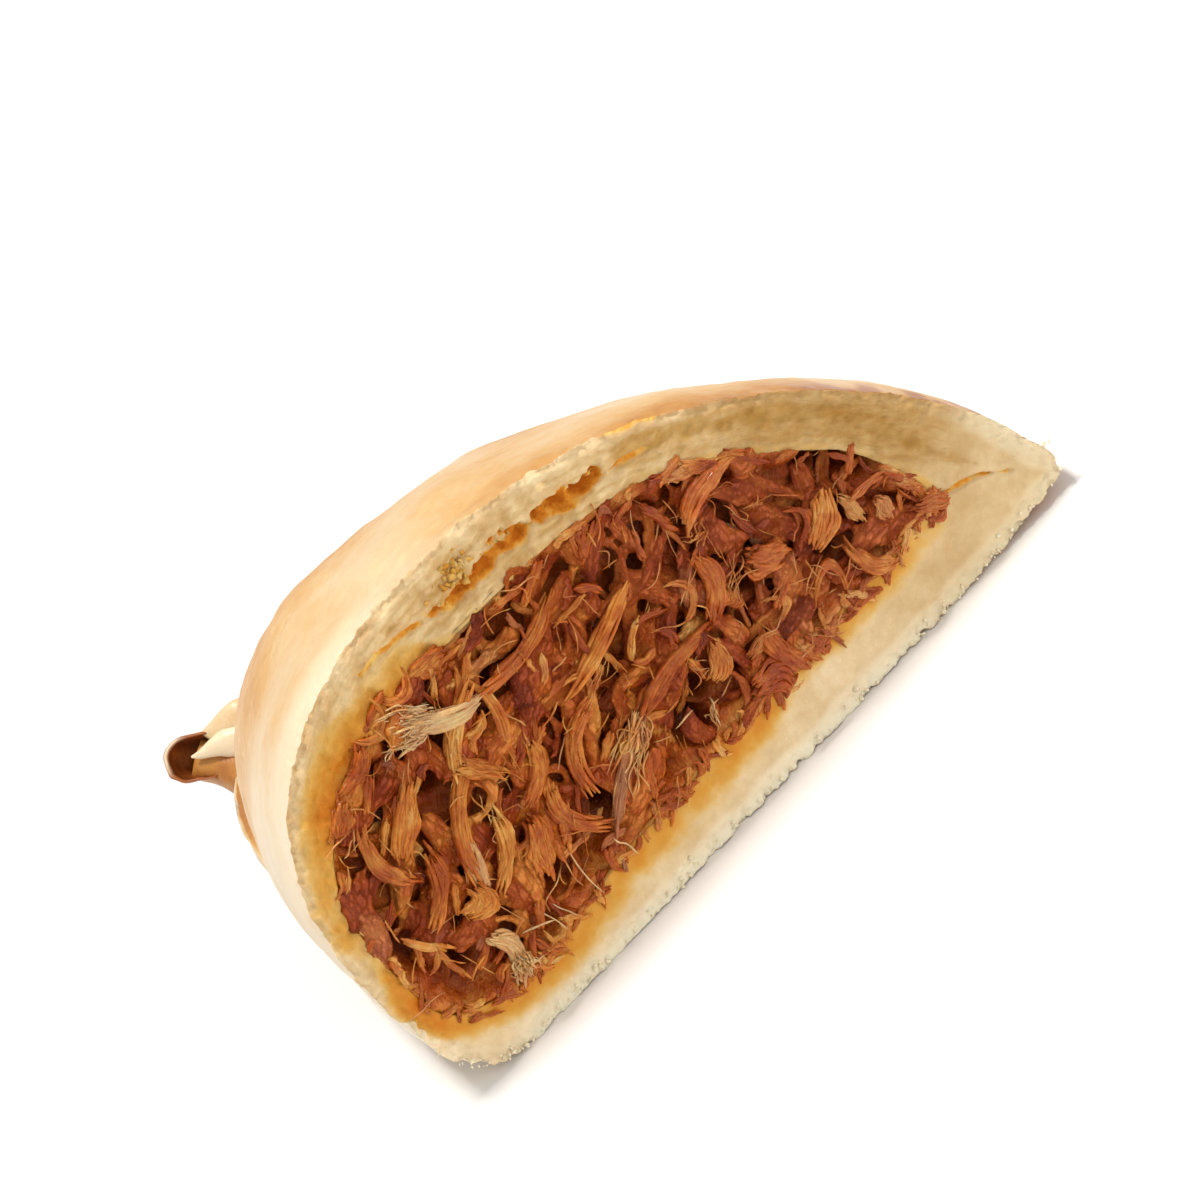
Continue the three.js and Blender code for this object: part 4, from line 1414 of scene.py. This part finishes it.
# The ear's wall from the back of its bowl, over the lip, to the bottom of the hollow: size, depth.
EAR_WALL = [
    (0.15, -4.2), (0.5, -4.0), (0.8, -3.3), (0.98, -2.2), (1.07, -1.0), (1.1, -0.2), (1.08, 0.3),
    (1.02, 0.45), (0.95, 0.25), (0.9, -0.4), (0.8, -1.3), (0.62, -2.1), (0.38, -2.6), (0.15, -2.8),
]
# Tubes of dough round the ear as across, along, forward, half width: its stem and the flap inside it.
EAR_STEM = [(-0.5, -0.2, -2.6, 2.4), (2.5, -0.9, -1.6, 2.6), (5.5, -1.6, 0.0, 3.0), (8.5, -2.2, 1.2, 2.6)]
EAR_FLAP = [(-0.9, -0.1, 0.4, 0.12), (0.4, 0.3, 0.6, 0.6), (1.9, 1.0, 0.9, 1.2), (3.7, 1.6, 1.2, 1.9),
            (6.0, 1.8, 1.6, 2.2)]
# The rim's raised end beside the ear: its crest's x, y and z, and half its thickness.
RAISED_RIM = [
    (8.5, 65.9, 22.3, 0.45), (10.2, 65.1, 22.7, 1.0), (12.4, 64.3, 23.2, 1.4),
    (14.6, 63.4, 23.1, 1.6), (17.2, 62.4, 21.4, 1.6), (20.5, 61.6, 18.6, 1.5),
    (25.0, 61.0, 15.4, 1.4), (30.5, 60.5, 12.4, 1.2), (36.0, 60.2, 9.6, 1.0),
]
RAISED_FOOT_Y = 60.0


def smooth_run(points, count, closed=False):
    """A smooth run of count points through a few, which may close on itself."""
    points = np.array(points, dtype=float)
    if closed:
        rows = np.concatenate([points[-1:], points, points[:2]])
    else:
        rows = np.concatenate([2 * points[:1] - points[1:2], points, 2 * points[-1:] - points[-2:-1]])
    spans = len(rows) - 3
    where = np.linspace(0, spans, count, endpoint=not closed)
    index = np.minimum(where.astype(int), spans - 1)
    t = (where - index)[:, None]
    a, b, c, d = (rows[index + step] for step in range(4))
    bent = (2 * a - 5 * b + 4 * c - d) * t ** 2 + (3 * b - a - 3 * c + d) * t ** 3
    return 0.5 * (2 * b + (c - a) * t + bent)


def ear_tube(points, flat):
    """A tube of dough through points given across, along and forward, flattened forwards."""
    run = smooth_run(points, 22)
    heading = np.gradient(run[:, :2], axis=0)
    heading /= np.linalg.norm(heading, axis=1, keepdims=True)
    side = np.stack([-heading[:, 1], heading[:, 0]], axis=-1)
    turn = np.linspace(0, 2 * np.pi, 20, endpoint=False)
    width = run[:, 3:]
    sides = side[:, None] * (width * np.cos(turn))[..., None]
    forward = run[:, 2:3] + flat * width * np.sin(turn)
    return np.concatenate([run[:, None, :2] + sides, forward[..., None]], axis=-1)


def raised_rim():
    """The rim's end where it stands up beside the ear, and sinks back to its own height."""
    run = smooth_run(RAISED_RIM, 40)
    crest, thick = run[:, :3], run[:, 3:]
    x = crest[:, 0]
    foot_x, foot_z = x + 3.2 * (1 - ease(x, 8, 16)), 15.4 - 0.3 * (x - 8)
    foot = np.stack([foot_x, np.full(len(x), RAISED_FOOT_Y), foot_z], axis=-1)
    turn = np.linspace(0, 2 * np.pi, 24, endpoint=False)
    rise = (crest - foot) / 2
    across = np.cross(np.gradient(crest, axis=0), rise)
    across *= thick / np.linalg.norm(across, axis=1, keepdims=True)
    upward, sideways = np.cos(turn)[None, :, None], np.sin(turn)[None, :, None]
    return ((crest + foot) / 2)[:, None] + rise[:, None] * upward + across[:, None] * sideways


def build_ear():
    """The pinched ear at the fold's far end, a flap lying into it, and the rim raised beside it."""
    lip = smooth_run(EAR_LIP, 60, closed=True)
    wall = smooth_run(EAR_WALL, 46)
    depths = np.repeat(wall[:, None, 1:], len(lip), axis=1)
    bowl = np.concatenate([lip[None] * wall[:, None, :1], depths], axis=-1)
    axes = np.stack([EAR_ACROSS, np.cross(EAR_ACROSS, -EAR_FACE), EAR_FACE])
    raised = raised_rim()
    along_wall = np.linspace(0, 1, len(wall))[:, None]
    within = ease(along_wall, 0.56, 0.64)
    at_lip = np.exp(-((along_wall - 0.54) / 0.07) ** 2)
    # Painted highlight: the bowl's lip is paler on its left side.
    light = ease(-lip[:, 0] + 0.3 * lip[:, 1], 1.8, 3.6)[None] * at_lip
    # The side of the raised rim that faces away from the ear is torn like the rim below it.
    turn = np.linspace(0, 2 * np.pi, raised.shape[1], endpoint=False)
    outer = ease(-np.sin(turn), 0.1, 0.5)[None] * ease(raised[..., 0], 12.5, 15.5)
    raised_toast = mix(mix(0.2, 0.6, ease(raised[..., 0], 12, 20)), 0.12, outer)
    # Each part's rings of points, then its toast value (darkest deep in the bowl), how pale it is (the bowl's
    # lip with a painted highlight on its left) and how torn.
    parts = [
        (bowl, mix(0.75, 0.93, within), 0.9 * light, 0),
        (ear_tube(EAR_STEM, 0.9), 0.66, 0, 0),
        (ear_tube(EAR_FLAP, 0.6), 0.12, 0.6, 0),
        ((raised - EAR_MIDDLE) @ axes.T, raised_toast, 0.2, outer),
    ]
    corners, faces, values = [], [], ([], [], [])
    for rings, *own in parts:
        rings = rings + 0.16 * rough(rings, 1.6, 51, 2)[..., None]
        spots, joined = closed_tube(rings)
        first = sum(len(spots) for spots in corners)
        faces += [[first + corner for corner in face] for face in joined]
        corners.append(spots)
        for kept, value in zip(values, own):
            spread = np.broadcast_to(value, rings.shape[:2])
            kept.append(np.append(spread.reshape(-1), [spread[0].mean(), spread[-1].mean()]))
    corners = EAR_MIDDLE + np.concatenate(corners) @ axes
    toast, pale, torn = (np.concatenate(kept) for kept in values)
    marks = {
        "toast": np.clip(toast + 0.08 * rough(corners, 2.0, 52, 2), 0, 1),
        "pale_line": pale,
        "crease": np.zeros(len(corners)),
        "rim_cut": torn,
    }
    return make_mesh("pinched_corner", to_part(corners), faces, SKIN, marks)


ear = build_ear()
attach(ear, "root")
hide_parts("crust")

# ---- Floor, light and camera -----------------------------------------------------------------


FLOOR_HALF = 2.5
FLOOR_LEVEL = -0.00002
# The camera's own directions in the part's frame, and its place, its aim and its lens.
SIGHT = Vector((0.09142, 0.86983, -0.48481)).normalized()
RIGHT = Vector((0.69113, -0.40592, -0.59797)).normalized()
UP = RIGHT.cross(SIGHT)
EYE = Vector((-0.06198, -0.59813, 0.32764))
AIM = Vector((0.0015, -0.0185, 0.0235))
LENS_MM = 183
SENSOR_MM = 36


def lay_floor():
    """A plain pale sheet a hair under the half, so that the two don't flicker."""
    near, far, level = -FLOOR_HALF, FLOOR_HALF, FLOOR_LEVEL
    corners = [(near, near, level), (far, near, level), (far, far, level), (near, far, level)]
    mesh = bpy.data.meshes.new("floor")
    mesh.from_pydata(corners, [], [[0, 1, 2, 3]])
    mesh.materials.append(plain_floor())
    made = bpy.data.objects.new("floor", mesh)
    bpy.context.scene.collection.objects.link(made)
    return made


lay_floor()


def set_camera():
    """Looks down at the cut, rolled so that the base sheet rises to the right."""
    data = bpy.data.cameras.new("camera")
    camera = bpy.data.objects.new("camera", data)
    bpy.context.scene.collection.objects.link(camera)
    sight = (AIM - EYE).normalized()
    right = (RIGHT - sight * RIGHT.dot(sight)).normalized()
    up = right.cross(sight)
    turn = Matrix((right, up, -sight)).transposed()
    camera.matrix_world = Matrix.Translation(EYE) @ turn.to_4x4()
    data.sensor_width = SENSOR_MM
    data.lens = LENS_MM
    data.clip_start, data.clip_end = 0.01, 20
    bpy.context.scene.camera = camera


def soft_light(name, towards, distance, size, power, tone=(1, 1, 1)):
    """A square panel of light that shines on the half from a direction."""
    data = bpy.data.lights.new(name, "AREA")
    data.shape = "SQUARE"
    data.size = size
    data.energy = power
    data.color = tone
    lamp = bpy.data.objects.new(name, data)
    bpy.context.scene.collection.objects.link(lamp)
    way = Vector(towards).normalized()
    lamp.location = Vector((0, 0, 0.02)) + way * distance
    lamp.rotation_euler = way.to_track_quat("Z", "Y").to_euler()


set_camera()
soft_light("key", -RIGHT * 0.80 + UP * 0.75 - SIGHT * 0.60, 1.1, 0.22, 10, (1.0, 0.97, 0.93))
soft_light("fill", RIGHT * 0.45 + UP * 0.35 - SIGHT * 1.0, 1.5, 1.0, 6)

world = bpy.data.worlds.new("studio")
world.use_nodes = True
world.node_tree.nodes["Background"].inputs["Color"].default_value = (0.95, 0.97, 1.0, 1)
world.node_tree.nodes["Background"].inputs["Strength"].default_value = 0.55
bpy.context.scene.world = world
bpy.context.scene.view_settings.view_transform = "Standard"
